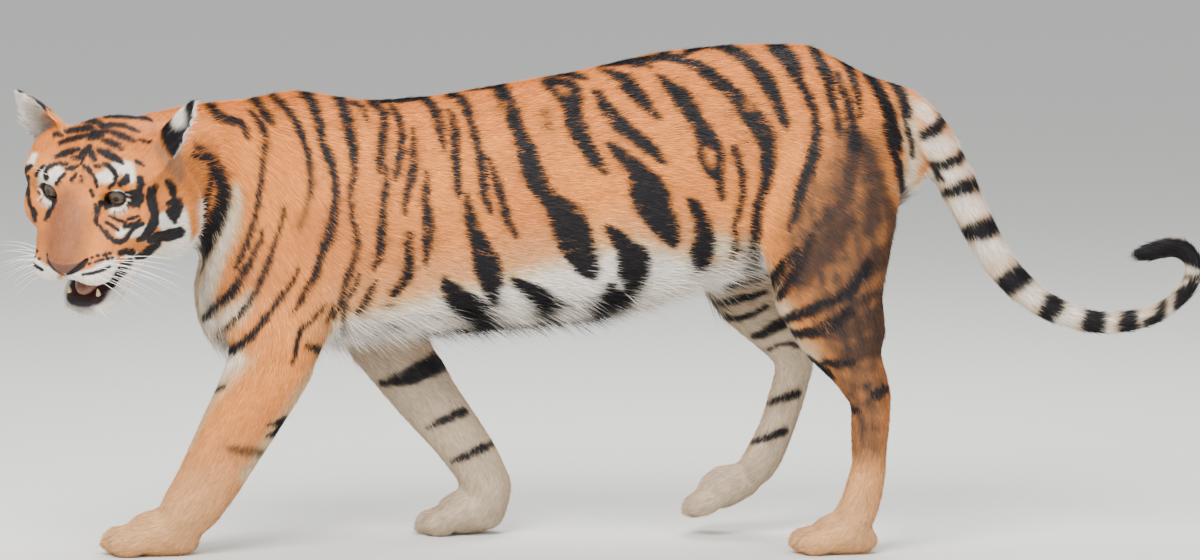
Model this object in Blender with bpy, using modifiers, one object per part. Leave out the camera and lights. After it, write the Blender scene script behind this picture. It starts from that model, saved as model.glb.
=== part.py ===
"""Bengal tigress, life size, in a slow walk with the head turned to its left.

The animal walks towards -X, with +Z up, and its left side faces -Y. Lengths are in metres.
The flesh is lofted limb by limb, fused into one body, and parted into named nodes by thin cuts.
"""
import math

import bmesh
import bpy
import numpy as np
from mathutils import Matrix, Vector

# Driving dimensions, measured before the body is moved to its origin.
FUSE_VOXEL = 0.0055          # grid that fuses the lofts into one body
BODY_SMOOTHINGS = 10         # passes that blend the joins between lofts
HEAD_SMOOTHINGS = 14         # more of them, over the head
LAST_SMOOTHINGS = 4          # passes that blend in the ears and paws
SOLID_TRIANGLES = 5500       # of all the flesh together
KEEP_DETAIL = 0.70           # how far the head, paws and tail are spared their thinning
THINNING_BIAS = 0.35         # how strongly that steers which triangles go
PAW_HEIGHT = 0.12            # the paws lie below this
TAIL_START = 0.62            # the tail lies beyond this
CUT = 0.0005                 # width of the cut between two nodes
HEAD_SIZE = 1.09             # of the head's own stations and masses below
EYE_RADIUS = 0.0205
GAP = 0.0004                 # clear space round an eyeball, a tooth or the tongue
EYE_OPENING = (0.026, 0.0215, 0.0135)    # half sizes of that gap
EYE_PLACE = Vector((-0.012, 0.0605, 0.003))              # the left eye's centre
LID_PLACE = Vector((0.008, 0.0605, 0.003))               # middle of the gap between its lids
EYE_MIDDLE = Vector((-0.9436, -0.330, 0.6957))
HEAD_TURN = math.radians(245.2)
HEAD_NOD = math.radians(29.0)
HEAD_TILT = math.radians(-4.4)
ORIGIN = Vector((0.0320, -0.1105, 0.0))  # the middle of the body's footprint box

HEAD = (
    Matrix.Translation(EYE_MIDDLE)
    @ Matrix.Rotation(HEAD_TURN, 4, "Z")
    @ Matrix.Rotation(HEAD_NOD, 4, "Y")
    @ Matrix.Rotation(HEAD_TILT, 4, "X")
    @ Matrix.Scale(HEAD_SIZE, 4)
)
BODY_FACING = (-1.0, 0.0, 1.0)   # ahead and up, on the body
HEAD_FACING = (1.0, 0.0, 1.0)    # ahead and up, in the head's own frame
HEAD_REACH = 0.30                # from between the eyes, to where the neck begins
CHEST = ((-0.700, 0.0, 0.480), (0.078, 0.100, 0.120))    # middle, then radii

# Loft stations: x, y, z of the middle, then reach up (or ahead), down (or behind) and sideways.
TRUNK = (
    (0.588, 0.0, 0.790, 0.078, 0.080, 0.055),
    (0.545, 0.0, 0.772, 0.132, 0.120, 0.105),
    (0.450, 0.0, 0.750, 0.200, 0.160, 0.136),
    (0.340, 0.0, 0.738, 0.224, 0.190, 0.145),
    (0.220, 0.0, 0.713, 0.244, 0.205, 0.147),
    (0.120, 0.0, 0.688, 0.252, 0.218, 0.155),
    (0.000, 0.0, 0.650, 0.262, 0.224, 0.164),
    (-0.150, 0.0, 0.625, 0.260, 0.218, 0.170),
    (-0.330, 0.0, 0.605, 0.252, 0.212, 0.166),
    (-0.460, 0.0, 0.600, 0.254, 0.222, 0.157),
    (-0.590, 0.0, 0.602, 0.268, 0.226, 0.138),
    (-0.655, 0.0, 0.602, 0.236, 0.214, 0.112),
    (-0.690, -0.002, 0.590, 0.125, 0.135, 0.062),
)
NECK = (
    (-0.520, 0.000, 0.680, 0.176, 0.170, 0.120),
    (-0.620, -0.004, 0.682, 0.186, 0.190, 0.130),
    (-0.705, -0.026, 0.694, 0.161, 0.152, 0.126),
    (-0.780, -0.068, 0.706, 0.143, 0.122, 0.118),
    (-0.842, -0.122, 0.716, 0.120, 0.112, 0.112),
    (-0.880, -0.176, 0.726, 0.092, 0.092, 0.104),
)
TAIL = (
    (0.520, 0.000, 0.836, 0.060, 0.060, 0.058),
    (0.588, 0.000, 0.816, 0.052, 0.053, 0.052),
    (0.644, 0.002, 0.756, 0.044, 0.044, 0.044),
    (0.684, 0.004, 0.676, 0.039, 0.039, 0.039),
    (0.733, 0.006, 0.580, 0.036, 0.036, 0.036),
    (0.790, 0.008, 0.500, 0.033, 0.033, 0.033),
    (0.874, 0.010, 0.443, 0.029, 0.029, 0.029),
    (0.970, 0.012, 0.421, 0.026, 0.026, 0.026),
    (1.062, 0.014, 0.440, 0.0235, 0.0235, 0.0235),
    (1.121, 0.014, 0.490, 0.022, 0.022, 0.022),
    (1.132, 0.012, 0.540, 0.022, 0.022, 0.022),
    (1.098, 0.010, 0.568, 0.024, 0.024, 0.024),
    (1.052, 0.008, 0.560, 0.024, 0.024, 0.024),
    (1.020, 0.006, 0.551, 0.019, 0.019, 0.019),
)
# Left fore leg: reaching ahead, its paw just set down.
LEFT_SHOULDER = (
    (-0.575, -0.060, 0.805, 0.060, 0.060, 0.036),
    (-0.610, -0.088, 0.740, 0.085, 0.090, 0.054),
    (-0.636, -0.099, 0.640, 0.100, 0.108, 0.064),
    (-0.640, -0.106, 0.540, 0.108, 0.115, 0.068),
    (-0.615, -0.113, 0.450, 0.102, 0.105, 0.067),
)
LEFT_FORELEG = (
    (-0.590, -0.113, 0.470, 0.096, 0.098, 0.067),
    (-0.612, -0.120, 0.372, 0.088, 0.082, 0.068),
    (-0.650, -0.124, 0.290, 0.078, 0.074, 0.060),
    (-0.700, -0.128, 0.205, 0.069, 0.067, 0.054),
    (-0.742, -0.130, 0.135, 0.060, 0.064, 0.053),
    (-0.774, -0.130, 0.088, 0.054, 0.058, 0.055),
    (-0.802, -0.130, 0.056, 0.040, 0.044, 0.054),
)
# Right fore leg: drawn back under the chest, its heel about to rise.
RIGHT_SHOULDER = (
    (-0.510, 0.060, 0.805, 0.060, 0.060, 0.036),
    (-0.550, 0.088, 0.730, 0.085, 0.090, 0.054),
    (-0.570, 0.099, 0.630, 0.098, 0.105, 0.062),
    (-0.540, 0.106, 0.520, 0.104, 0.104, 0.065),
    (-0.470, 0.114, 0.440, 0.096, 0.092, 0.064),
)
RIGHT_FORELEG = (
    (-0.470, 0.114, 0.455, 0.088, 0.085, 0.062),
    (-0.410, 0.116, 0.378, 0.078, 0.076, 0.060),
    (-0.342, 0.118, 0.276, 0.065, 0.064, 0.054),
    (-0.286, 0.118, 0.204, 0.057, 0.056, 0.050),
    (-0.243, 0.118, 0.140, 0.050, 0.052, 0.050),
    (-0.218, 0.118, 0.092, 0.046, 0.048, 0.052),
    (-0.216, 0.118, 0.060, 0.044, 0.040, 0.053),
)
# Left hind leg: bearing the body's weight, drawn back.
LEFT_THIGH = (
    (0.440, -0.070, 0.850, 0.080, 0.085, 0.045),
    (0.445, -0.092, 0.760, 0.130, 0.118, 0.066),
    (0.440, -0.100, 0.660, 0.142, 0.126, 0.074),
    (0.430, -0.104, 0.560, 0.128, 0.118, 0.074),
    (0.428, -0.106, 0.480, 0.098, 0.112, 0.066),
    (0.458, -0.108, 0.400, 0.072, 0.088, 0.054),
)
LEFT_SHANK = (
    (0.415, -0.104, 0.490, 0.092, 0.100, 0.064),
    (0.448, -0.108, 0.408, 0.072, 0.080, 0.054),
    (0.484, -0.110, 0.345, 0.052, 0.056, 0.042),
    (0.507, -0.110, 0.290, 0.041, 0.046, 0.036),
    (0.509, -0.110, 0.230, 0.036, 0.037, 0.034),
    (0.506, -0.112, 0.160, 0.036, 0.036, 0.036),
    (0.494, -0.114, 0.100, 0.040, 0.038, 0.044),
    (0.476, -0.114, 0.058, 0.038, 0.036, 0.050),
)
# Right hind leg: swinging ahead, its paw just clear of the floor.
RIGHT_THIGH = (
    (0.430, 0.070, 0.845, 0.080, 0.085, 0.045),
    (0.405, 0.092, 0.755, 0.128, 0.116, 0.064),
    (0.365, 0.098, 0.655, 0.150, 0.124, 0.072),
    (0.308, 0.102, 0.560, 0.132, 0.118, 0.070),
    (0.258, 0.104, 0.500, 0.088, 0.096, 0.060),
)
RIGHT_SHANK = (
    (0.256, 0.104, 0.500, 0.070, 0.090, 0.060),
    (0.296, 0.106, 0.444, 0.062, 0.070, 0.052),
    (0.342, 0.108, 0.392, 0.050, 0.054, 0.042),
    (0.372, 0.108, 0.348, 0.042, 0.046, 0.038),
    (0.366, 0.108, 0.290, 0.037, 0.038, 0.036),
    (0.346, 0.108, 0.222, 0.036, 0.037, 0.038),
    (0.324, 0.108, 0.166, 0.038, 0.038, 0.044),
    (0.302, 0.108, 0.128, 0.036, 0.034, 0.048),
)
PAWS = (                         # floor point under the middle, size, nose-up pitch
    ((-0.836, -0.130, 0.000), 1.06, 0.0),
    ((-0.258, 0.118, 0.000), 1.00, 0.12),
    ((0.450, -0.114, 0.000), 0.96, 0.0),
    ((0.256, 0.108, 0.040), 0.94, 0.42),
)
# Head stations, in the head's frame: x ahead, y to its left, z up, from between the eyes.
CRANIUM = (
    (-0.190, 0.0, -0.045, 0.066, 0.060, 0.074),
    (-0.150, 0.0, -0.030, 0.084, 0.080, 0.098),
    (-0.105, 0.0, -0.022, 0.094, 0.095, 0.112),
    (-0.060, 0.0, -0.018, 0.088, 0.095, 0.106),
    (-0.022, 0.0, -0.022, 0.068, 0.078, 0.092),
    (0.008, 0.0, -0.030, 0.050, 0.060, 0.064),
)
MUZZLE = (
    (-0.010, 0.0, -0.045, 0.060, 0.060, 0.046),
    (0.030, 0.0, -0.055, 0.062, 0.050, 0.044),
    (0.062, 0.0, -0.072, 0.053, 0.040, 0.045),
    (0.086, 0.0, -0.082, 0.043, 0.030, 0.040),
)
LOWER_JAW = (
    (-0.075, 0.0, -0.120, 0.050, 0.046, 0.084),
    (-0.030, 0.0, -0.142, 0.035, 0.034, 0.070),
    (0.015, 0.0, -0.164, 0.025, 0.029, 0.062),
    (0.052, 0.0, -0.174, 0.022, 0.028, 0.059),
    (0.068, 0.0, -0.174, 0.018, 0.024, 0.050),
)
# Head masses: middle, then radii, for the left side. The right side mirrors them.
HEAD_PAIRS = (
    ((0.072, 0.040, -0.094), (0.043, 0.043, 0.031)),     # whisker pad
    ((0.026, 0.046, -0.076), (0.056, 0.045, 0.046)),     # side of the muzzle
    ((-0.034, 0.082, -0.044), (0.062, 0.056, 0.054)),    # cheekbone
    ((-0.034, 0.078, 0.020), (0.044, 0.050, 0.038)),     # outer brow
    ((-0.022, 0.044, 0.020), (0.040, 0.038, 0.027)),     # inner brow
    ((-0.090, 0.096, -0.076), (0.075, 0.068, 0.096)),    # ruff
    ((-0.085, 0.090, 0.000), (0.064, 0.054, 0.062)),     # temple
    ((-0.042, 0.045, -0.112), (0.070, 0.044, 0.050)),    # jaw muscle
)
EAR_BASE = Vector((-0.106, 0.121, 0.028))
LEFT_EAR_TIP = Vector((-0.145, 0.183, 0.108))
RIGHT_EAR_TIP = Vector((-0.142, -0.202, 0.085))
LEFT_EAR_OPENING = Vector((-0.40, 0.91, -0.12))
RIGHT_EAR_OPENING = Vector((0.62, -0.75, 0.15))
EAR_HALF_WIDTH = 0.071
EAR_THICKNESS = 0.010
EAR_CUP = 0.034
EAR_SUNK = 0.02                  # how far the ear's root is sunk in the head
EAR_CUT = 0.016                  # how far along the ear it is parted from the head
EAR_ROWS = 9
# The open mouth, as a wedge seen from the side: x and z in the head's frame.
MOUTH = ((0.012, -0.124), (0.140, -0.112), (0.140, -0.170))
JAW = ((0.012, -0.1242), (0.140, -0.170), (0.140, -0.240), (-0.020, -0.240))
TONGUE_MIDDLE = Vector((0.040, 0.0, -0.1415))
TONGUE_RADII = (0.034, 0.0215, 0.013)
TONGUE_DIP = math.radians(18)    # how far the tongue's tip dips below its root
# The room the tongue lies in, down to the floor of the mouth, drawn as the mouth is.
TONGUE_ROOM = ((0.012, -0.126), (0.140, -0.114), (0.140, -0.178), (0.026, -0.1412))
TOOTH_FOOT = Vector((0.066, 0.0275, -0.1560))
TOOTH_RADIUS = 0.0055
TOOTH_HEIGHT = 0.022
# Thin cuts that part the flesh: middle, direction through the cut, half its width and depth.
CUTS = (
    ((-0.800, -0.085, 0.700), (-0.62, -0.75, 0.15), 0.24, 0.24),     # head from neck
    ((-0.662, 0.000, 0.690), (-0.834, 0.0, 0.552), 0.24, 0.30),      # neck from forequarters
    ((-0.275, 0.000, 0.650), (1.0, 0.0, 0.0), 0.24, 0.40),           # forequarters from barrel
    ((0.200, 0.000, 0.650), (1.0, 0.0, 0.0), 0.24, 0.40),            # barrel from hindquarters
    ((0.668, 0.003, 0.714), (0.42, 0.0, -0.91), 0.07, 0.058),        # tail from hindquarters
    ((0.790, 0.008, 0.500), (0.76, 0.0, -0.65), 0.09, 0.09),
    ((1.062, 0.014, 0.440), (0.85, 0.0, 0.53), 0.05, 0.05),
    ((-0.632, -0.130, 0.345), (0.0, 0.0, 1.0), 0.12, 0.16),          # near fore leg
    ((-0.768, -0.130, 0.105), (-0.50, 0.0, -0.87), 0.11, 0.11),
    ((-0.390, 0.118, 0.345), (0.0, 0.0, 1.0), 0.11, 0.16),           # far fore leg
    ((-0.228, 0.118, 0.108), (0.2, 0.0, -0.98), 0.10, 0.10),
    ((0.445, -0.130, 0.490), (0.0, 0.0, 1.0), 0.12, 0.17),           # near hind leg
    ((0.510, -0.110, 0.268), (0.0, 0.0, 1.0), 0.09, 0.09),
    ((0.487, -0.114, 0.086), (-0.2, 0.0, -0.98), 0.10, 0.10),
    ((0.300, 0.120, 0.450), (0.3, 0.0, -0.95), 0.11, 0.15),          # far hind leg
    ((0.372, 0.108, 0.330), (0.1, 0.0, -0.99), 0.08, 0.08),
    ((0.312, 0.108, 0.147), (-0.45, 0.0, -0.89), 0.09, 0.09),
)
# Each node of flesh, by a point that lies inside it.
NODES = {
    "neck": (-0.720, -0.030, 0.700),
    "forequarters": (-0.480, 0.000, 0.620),
    "barrel": (-0.050, 0.000, 0.640),
    "hindquarters": (0.400, 0.000, 0.740),
    "tail_root": (0.710, 0.005, 0.625),
    "tail_middle": (0.900, 0.010, 0.436),
    "tail_end": (1.125, 0.014, 0.500),
    "foreleg_left": (-0.690, -0.128, 0.222),
    "fore_paw_left": (-0.836, -0.130, 0.040),
    "foreleg_right": (-0.300, 0.118, 0.225),
    "fore_paw_right": (-0.240, 0.118, 0.045),
    "shank_left": (0.470, -0.110, 0.370),
    "hock_left": (0.508, -0.112, 0.180),
    "hind_paw_left": (0.455, -0.114, 0.040),
    "shank_right": (0.345, 0.108, 0.385),
    "hock_right": (0.345, 0.108, 0.230),
    "hind_paw_right": (0.285, 0.108, 0.085),
    "head": (-0.900, -0.240, 0.740),
}
COAT = (0.55, 0.26, 0.09)
PALE = (0.80, 0.74, 0.64)


def smooth_rows(rows, steps):
    """Rows of numbers, with steps - 1 more between each two on a Catmull-Rom curve."""
    rows = np.array(rows)
    ends = np.vstack([2 * rows[0] - rows[1], rows, 2 * rows[-1] - rows[-2]])
    made = []
    for i in range(len(rows) - 1):
        a, b, c, d = ends[i:i + 4]
        for t in np.linspace(0, 1, steps, endpoint=False):
            made.append(0.5 * (2 * b + (c - a) * t + (2 * a - 5 * b + 4 * c - d) * t**2
                               + (3 * b - a - 3 * c + d) * t**3))
    return np.array([*made, rows[-1]])


def loft(body, rows, facing=BODY_FACING, matrix=None, steps=4, ring=24, power=2.25):
    """Adds a closed tube through the stations, with rounded ends."""
    rows = smooth_rows(rows, steps)
    middles, reach = rows[:, :3], rows[:, 3:]
    along = np.gradient(middles, axis=0)
    along /= np.linalg.norm(along, axis=1)[:, None]
    domes = [(0, -1, a) for a in (70, 45, 20)] + [(-1, 1, a) for a in (20, 45, 70)]
    rings = [(middles[i], along[i], reach[i], 1.0) for i in range(len(rows))]
    capped = []
    for end, sign, degrees in domes:
        swell = 0.8 * reach[end].mean() * math.sin(math.radians(degrees))
        middle = middles[end] + sign * along[end] * swell
        capped.append((middle, along[end], reach[end], math.cos(math.radians(degrees))))
    rings = capped[:3] + rings + capped[3:]
    layers = []
    facing = np.array(facing)
    for middle, tangent, (up, down, side), scale in rings:
        sideways = np.array([0.0, 1.0, 0.0]) - tangent * tangent[1]
        sideways /= np.linalg.norm(sideways)
        upward = np.cross(sideways, tangent)
        upward *= 1.0 if upward @ facing > 0 else -1.0
        facing = upward
        layer = []
        for k in range(ring):
            c, s = math.cos(2 * math.pi * k / ring), math.sin(2 * math.pi * k / ring)
            x = math.copysign(abs(c) ** (2 / power), c) * side
            y = math.copysign(abs(s) ** (2 / power), s) * (up if s > 0 else down)
            point = Vector(middle + scale * (x * sideways + y * upward))
            layer.append(body.verts.new(matrix @ point if matrix else point))
        layers.append(layer)
    faces = [body.faces.new(layers[0]), body.faces.new(layers[-1][::-1])]
    for low, high in zip(layers, layers[1:]):
        for k in range(ring):
            faces.append(body.faces.new((low[k - 1], high[k - 1], high[k], low[k])))
    bmesh.ops.recalc_face_normals(body, faces=faces)


def ellipsoid(body, middle, radii, matrix=None, segments=24):
    """Adds an ellipsoid with its radii along the axes."""
    placed = Matrix.Translation(middle) @ Matrix.Diagonal((*radii, 1.0))
    bmesh.ops.create_uvsphere(body, u_segments=segments, v_segments=segments // 2, radius=1.0,
                              matrix=matrix @ placed if matrix else placed)


def mirrored(point, side):
    """A point of the head's left side, or the same on its right."""
    return Vector((point[0], side * point[1], point[2]))


def ear(body, tip, opening):
    """Adds one cupped ear, as a bent plate that opens towards a direction."""
    side = math.copysign(1.0, tip.y)
    base = mirrored(EAR_BASE, side)
    axis = (tip - base).normalized()
    opening = (opening - axis * opening.dot(axis)).normalized()
    across = axis.cross(opening) * side
    length = (tip - base).length + EAR_SUNK
    layers = []
    for lift in (0.0, EAR_THICKNESS):
        grid = []
        for i in range(EAR_ROWS):
            t = i / (EAR_ROWS - 1)
            half = EAR_HALF_WIDTH * math.sqrt(max(0.05, 1 - t**2.4))
            line = []
            for j in range(EAR_ROWS):
                v = 2 * j / (EAR_ROWS - 1) - 1
                behind = EAR_CUP * (1 - v * v) * (1 - 0.6 * t) + lift
                middle = base + axis * (length * t * (1 - 0.06 * v * v) - EAR_SUNK)
                line.append(body.verts.new(HEAD @ (middle + across * (half * v) - opening * behind)))
            grid.append(line)
        layers.append(grid)
    last = EAR_ROWS - 1
    faces = []
    for i in range(last):
        for j in range(last):
            for grid in layers:
                corners = (grid[i][j], grid[i + 1][j], grid[i + 1][j + 1], grid[i][j + 1])
                faces.append(body.faces.new(corners))
    edge = [(0, j) for j in range(last)] + [(i, last) for i in range(last)]
    edge += [(last, j) for j in range(last, 0, -1)] + [(i, 0) for i in range(last, 0, -1)]
    front, back = layers
    for (a, b), (c, d) in zip(edge, edge[1:] + edge[:1]):
        faces.append(body.faces.new((front[a][b], front[c][d], back[c][d], back[a][b])))
    bmesh.ops.recalc_face_normals(body, faces=faces)


def paw(body, place, size, pitch):
    """Adds a broad paw with four toes. place is the floor point under its middle."""
    matrix = (Matrix.Translation(place) @ Matrix.Rotation(math.pi, 4, "Z")
              @ Matrix.Translation((0.05, 0, 0)) @ Matrix.Rotation(pitch, 4, "Y")
              @ Matrix.Translation((-0.05, 0, 0)) @ Matrix.Scale(size, 4))
    ellipsoid(body, (-0.005, 0, 0.036), (0.062, 0.058, 0.044), matrix)
    ellipsoid(body, (-0.035, 0, 0.026), (0.045, 0.047, 0.032), matrix)
    for across, ahead in ((-0.045, 0.046), (-0.0165, 0.064), (0.0165, 0.064), (0.045, 0.046)):
        ellipsoid(body, (ahead, across, 0.024), (0.037, 0.0195, 0.027), matrix)


def to_object(body, name):
    """A scene object holding the bmesh."""
    mesh = bpy.data.meshes.new(name)
    body.to_mesh(mesh)
    body.free()
    made = bpy.data.objects.new(name, mesh)
    bpy.context.scene.collection.objects.link(made)
    return made


def applied(thing):
    """Turns the object's modifiers into its mesh."""
    depsgraph = bpy.context.evaluated_depsgraph_get()
    mesh = bpy.data.meshes.new_from_object(thing.evaluated_get(depsgraph))
    thing.modifiers.clear()
    thing.data = mesh
    return thing


def fuse(thing):
    """Fuses the closed shapes of a mesh into one, on a fine grid."""
    remesh = thing.modifiers.new("fuse", "REMESH")
    remesh.mode = "VOXEL"
    remesh.voxel_size = FUSE_VOXEL
    return applied(thing)


def smooth(thing, passes, group=""):
    """Smooths a mesh, or the part of it that the group weighs."""
    blend = thing.modifiers.new("blend", "SMOOTH")
    blend.iterations = passes
    blend.vertex_group = group


def head_weight(point):
    """One over the head, falling to nothing over the neck."""
    return max(0.0, min(1.0, (HEAD_REACH - (point - EYE_MIDDLE).length) / 0.08))


def fused_body():
    """The whole flesh as one closed mesh."""
    body = bmesh.new()
    for rows in (TRUNK, NECK, LEFT_SHOULDER, LEFT_FORELEG, RIGHT_SHOULDER, RIGHT_FORELEG,
                 LEFT_THIGH, LEFT_SHANK, RIGHT_THIGH, RIGHT_SHANK):
        loft(body, rows)
    loft(body, TAIL, power=2.0)
    ellipsoid(body, *CHEST)
    for rows in (CRANIUM, MUZZLE, LOWER_JAW):
        loft(body, rows, HEAD_FACING, HEAD)
    for side in (1.0, -1.0):
        for middle, radii in HEAD_PAIRS:
            ellipsoid(body, mirrored(middle, side), radii, HEAD)
    flesh = fuse(to_object(body, "flesh"))
    group = flesh.vertex_groups.new(name="head")
    for vertex in flesh.data.vertices:
        weight = head_weight(vertex.co)
        if weight > 0:
            group.add([vertex.index], weight, "REPLACE")
    smooth(flesh, BODY_SMOOTHINGS)
    smooth(flesh, HEAD_SMOOTHINGS, "head")
    applied(flesh)
    flesh.vertex_groups.clear()
    body = bmesh.new()
    ear(body, LEFT_EAR_TIP, LEFT_EAR_OPENING)
    ear(body, RIGHT_EAR_TIP, RIGHT_EAR_OPENING)
    for place, size, pitch in PAWS:
        paw(body, Vector(place), size, pitch)
    body.from_mesh(flesh.data)
    body.to_mesh(flesh.data)
    body.free()
    fuse(flesh)
    smooth(flesh, LAST_SMOOTHINGS)
    return applied(flesh)


def material(name, colour, roughness):
    """A plain Principled material."""
    made = bpy.data.materials.new(name)
    made.use_nodes = True
    shader = made.node_tree.nodes["Principled BSDF"]
    shader.inputs["Base Color"].default_value = (*colour, 1.0)
    shader.inputs["Roughness"].default_value = roughness
    return made


def cut(thing, cutter, operation="DIFFERENCE"):
    """Applies one exact Boolean."""
    modifier = thing.modifiers.new("cut", "BOOLEAN")
    modifier.operation = operation
    modifier.solver = "EXACT"
    modifier.object = cutter
    return applied(thing)


def slab(body, middle, through, wide, deep):
    """Adds a thin box, square to the direction given."""
    through = Vector(through).normalized()
    sideways = Vector((0.0, 1.0, 0.0))
    sideways = (sideways - through * sideways.dot(through)).normalized()
    turn = Matrix((through, sideways, through.cross(sideways))).transposed().to_4x4()
    size = Matrix.Diagonal((CUT, 2 * wide, 2 * deep, 1.0))
    bmesh.ops.create_cube(body, size=1.0, matrix=Matrix.Translation(middle) @ turn @ size)


def prism(body, outline, half_width, matrix):
    """Adds an outline of x and z, stretched sideways."""
    rings = [[body.verts.new(matrix @ Vector((x, y, z))) for x, z in outline]
             for y in (-half_width, half_width)]
    faces = [body.faces.new(rings[0]), body.faces.new(rings[1])]
    for k in range(len(outline)):
        faces.append(body.faces.new((rings[0][k - 1], rings[0][k], rings[1][k], rings[1][k - 1])))
    bmesh.ops.recalc_face_normals(body, faces=faces)


def grown(outline, by):
    """A convex outline with every side moved outwards."""
    middle = np.mean(outline, axis=0)
    sides = []
    for k in range(len(outline)):
        a, b = np.array(outline[k - 1]), np.array(outline[k])
        normal = np.array([b[1] - a[1], a[0] - b[0]])
        normal /= np.linalg.norm(normal)
        normal *= 1.0 if normal @ (a - middle) > 0 else -1.0
        sides.append((normal, normal @ a + by))
    corners = []
    for k in range(len(outline)):
        (n, d), (m, e) = sides[k], sides[(k + 1) % len(outline)]
        corners.append(tuple(np.linalg.solve(np.array([n, m]), np.array([d, e]))))
    return corners


def islands(thing):
    """The separate pieces of a mesh, each as a bmesh, largest first."""
    whole = bmesh.new()
    whole.from_mesh(thing.data)
    whole.verts.index_update()
    label = [-1] * len(whole.verts)
    count = 0
    for start in whole.verts:
        if label[start.index] >= 0:
            continue
        label[start.index] = count
        queue = [start]
        while queue:
            for link in queue.pop().link_edges:
                for vertex in link.verts:
                    if label[vertex.index] < 0:
                        label[vertex.index] = count
                        queue.append(vertex)
        count += 1
    pieces = []
    for k in range(count):
        piece = whole.copy()
        piece.verts.index_update()
        lost = [v for v in piece.verts if label[v.index] != k]
        bmesh.ops.delete(piece, geom=lost, context="VERTS")
        pieces.append(piece)
    whole.free()
    return sorted(pieces, key=lambda piece: -piece.calc_volume())


def thinned(flesh):
    """Cuts the triangles down, keeping more of them on the head, paws and tail."""
    group = flesh.vertex_groups.new(name="plain")
    for vertex in flesh.data.vertices:
        slim = 0.8 if vertex.co.z < PAW_HEIGHT else 0.35 if vertex.co.x > TAIL_START else 0.0
        fine = max(head_weight(vertex.co), slim)
        group.add([vertex.index], 1.0 - KEEP_DETAIL * fine, "REPLACE")
    thin = flesh.modifiers.new("thin", "DECIMATE")
    thin.ratio = SOLID_TRIANGLES / (2.0 * len(flesh.data.vertices))
    thin.vertex_group = group.name
    thin.vertex_group_factor = THINNING_BIAS
    thin.use_collapse_triangulate = True
    applied(flesh)
    flesh.vertex_groups.clear()


def take(thing, cutters, name, build):
    """Parts what lies in a cutter from the rest. build(body, by) makes the cutter, grown by by."""
    inner, outer = bmesh.new(), bmesh.new()
    build(inner, 0.0)
    build(outer, CUT)
    inner = to_object(inner, f"{name}_inner_cutter")
    outer = to_object(outer, f"{name}_outer_cutter")
    part = bpy.data.objects.new(name, thing.data.copy())
    bpy.context.scene.collection.objects.link(part)
    cut(part, inner, "INTERSECT")
    cut(thing, outer)
    cutters += [inner, outer]
    return part


def largest(thing):
    """Keeps only the largest piece of a mesh."""
    pieces = islands(thing)
    pieces[0].to_mesh(thing.data)
    for piece in pieces:
        piece.free()
    return thing


def face_cutters():
    """Cutters for the sockets, the gap between the lids and the open mouth."""
    body = bmesh.new()
    for side in (1.0, -1.0):
        clear = (EYE_RADIUS + GAP) / HEAD_SIZE
        ellipsoid(body, mirrored(EYE_PLACE, side), (clear,) * 3, HEAD, 16)
    sockets = to_object(body, "socket_cutter")
    body = bmesh.new()
    for side in (1.0, -1.0):
        ellipsoid(body, mirrored(LID_PLACE, side), EYE_OPENING, HEAD, 14)
    lids = to_object(body, "lid_cutter")
    body = bmesh.new()
    prism(body, MOUTH, 0.1, HEAD)
    return sockets, lids, to_object(body, "mouth_cutter")


def ear_cutter(tip):
    """A function that builds the box round one ear."""
    base = mirrored(EAR_BASE, math.copysign(1.0, tip.y))
    axis = (tip - base).normalized()
    turn = axis.to_track_quat("Z", "Y").to_matrix().to_4x4()

    def build(body, by):
        low = EAR_CUT - by / HEAD_SIZE
        size = Matrix.Diagonal((0.20 + by, 0.20 + by, 0.16 - low, 1.0))
        middle = base + axis * (low + 0.16) / 2
        bmesh.ops.create_cube(body, size=1.0, matrix=HEAD @ Matrix.Translation(middle) @ turn @ size)

    return build


def jaw_cutter(body, by):
    """Builds the prism round the lower jaw."""
    prism(body, grown(JAW, by / HEAD_SIZE), 0.1 + by, HEAD)


def eye(side):
    """One eyeball."""
    body = bmesh.new()
    radius = EYE_RADIUS / HEAD_SIZE
    ellipsoid(body, mirrored(EYE_PLACE, side), (radius,) * 3, HEAD, 16)
    return to_object(body, "eye_left" if side > 0 else "eye_right")


def tongue():
    """The tongue, lying between the jaws and clear of both."""
    body = bmesh.new()
    dipped = HEAD @ Matrix.Translation(TONGUE_MIDDLE) @ Matrix.Rotation(TONGUE_DIP, 4, "Y")
    ellipsoid(body, (0.0, 0.0, 0.0), TONGUE_RADII, dipped, 16)
    made = to_object(body, "tongue")
    body = bmesh.new()
    prism(body, TONGUE_ROOM, 0.08, HEAD)
    room = to_object(body, "tongue_cutter")
    cut(made, room, "INTERSECT")
    return made, room


def lower_canine(side):
    """One lower canine, standing just clear of the jaw."""
    body = bmesh.new()
    foot = mirrored(TOOTH_FOOT, side) + Vector((0.0, 0.0, TOOTH_HEIGHT / 2))
    bmesh.ops.create_cone(body, cap_ends=True, segments=10, radius1=TOOTH_RADIUS,
                          radius2=TOOTH_RADIUS / 4, depth=TOOTH_HEIGHT,
                          matrix=HEAD @ Matrix.Translation(foot))
    return to_object(body, "lower_canine_left" if side > 0 else "lower_canine_right")


def named_pieces(flesh):
    """Parts the flesh by the thin cuts, and names each piece by the point inside it."""
    slabs = []
    for number, entry in enumerate(CUTS, 1):
        body = bmesh.new()
        slab(body, *entry)
        slabs.append(to_object(body, f"parting_cutter_{number}"))
        cut(flesh, slabs[-1])
    pieces = islands(flesh)
    nodes = []
    for name, point in NODES.items():
        point = Vector(point)
        nearest = min(pieces, key=lambda piece: min((v.co - point).length for v in piece.verts))
        pieces.remove(nearest)
        nodes.append(to_object(nearest, name))
    for crumb in pieces:
        crumb.free()
    bpy.data.objects.remove(flesh)
    return nodes, slabs


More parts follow.
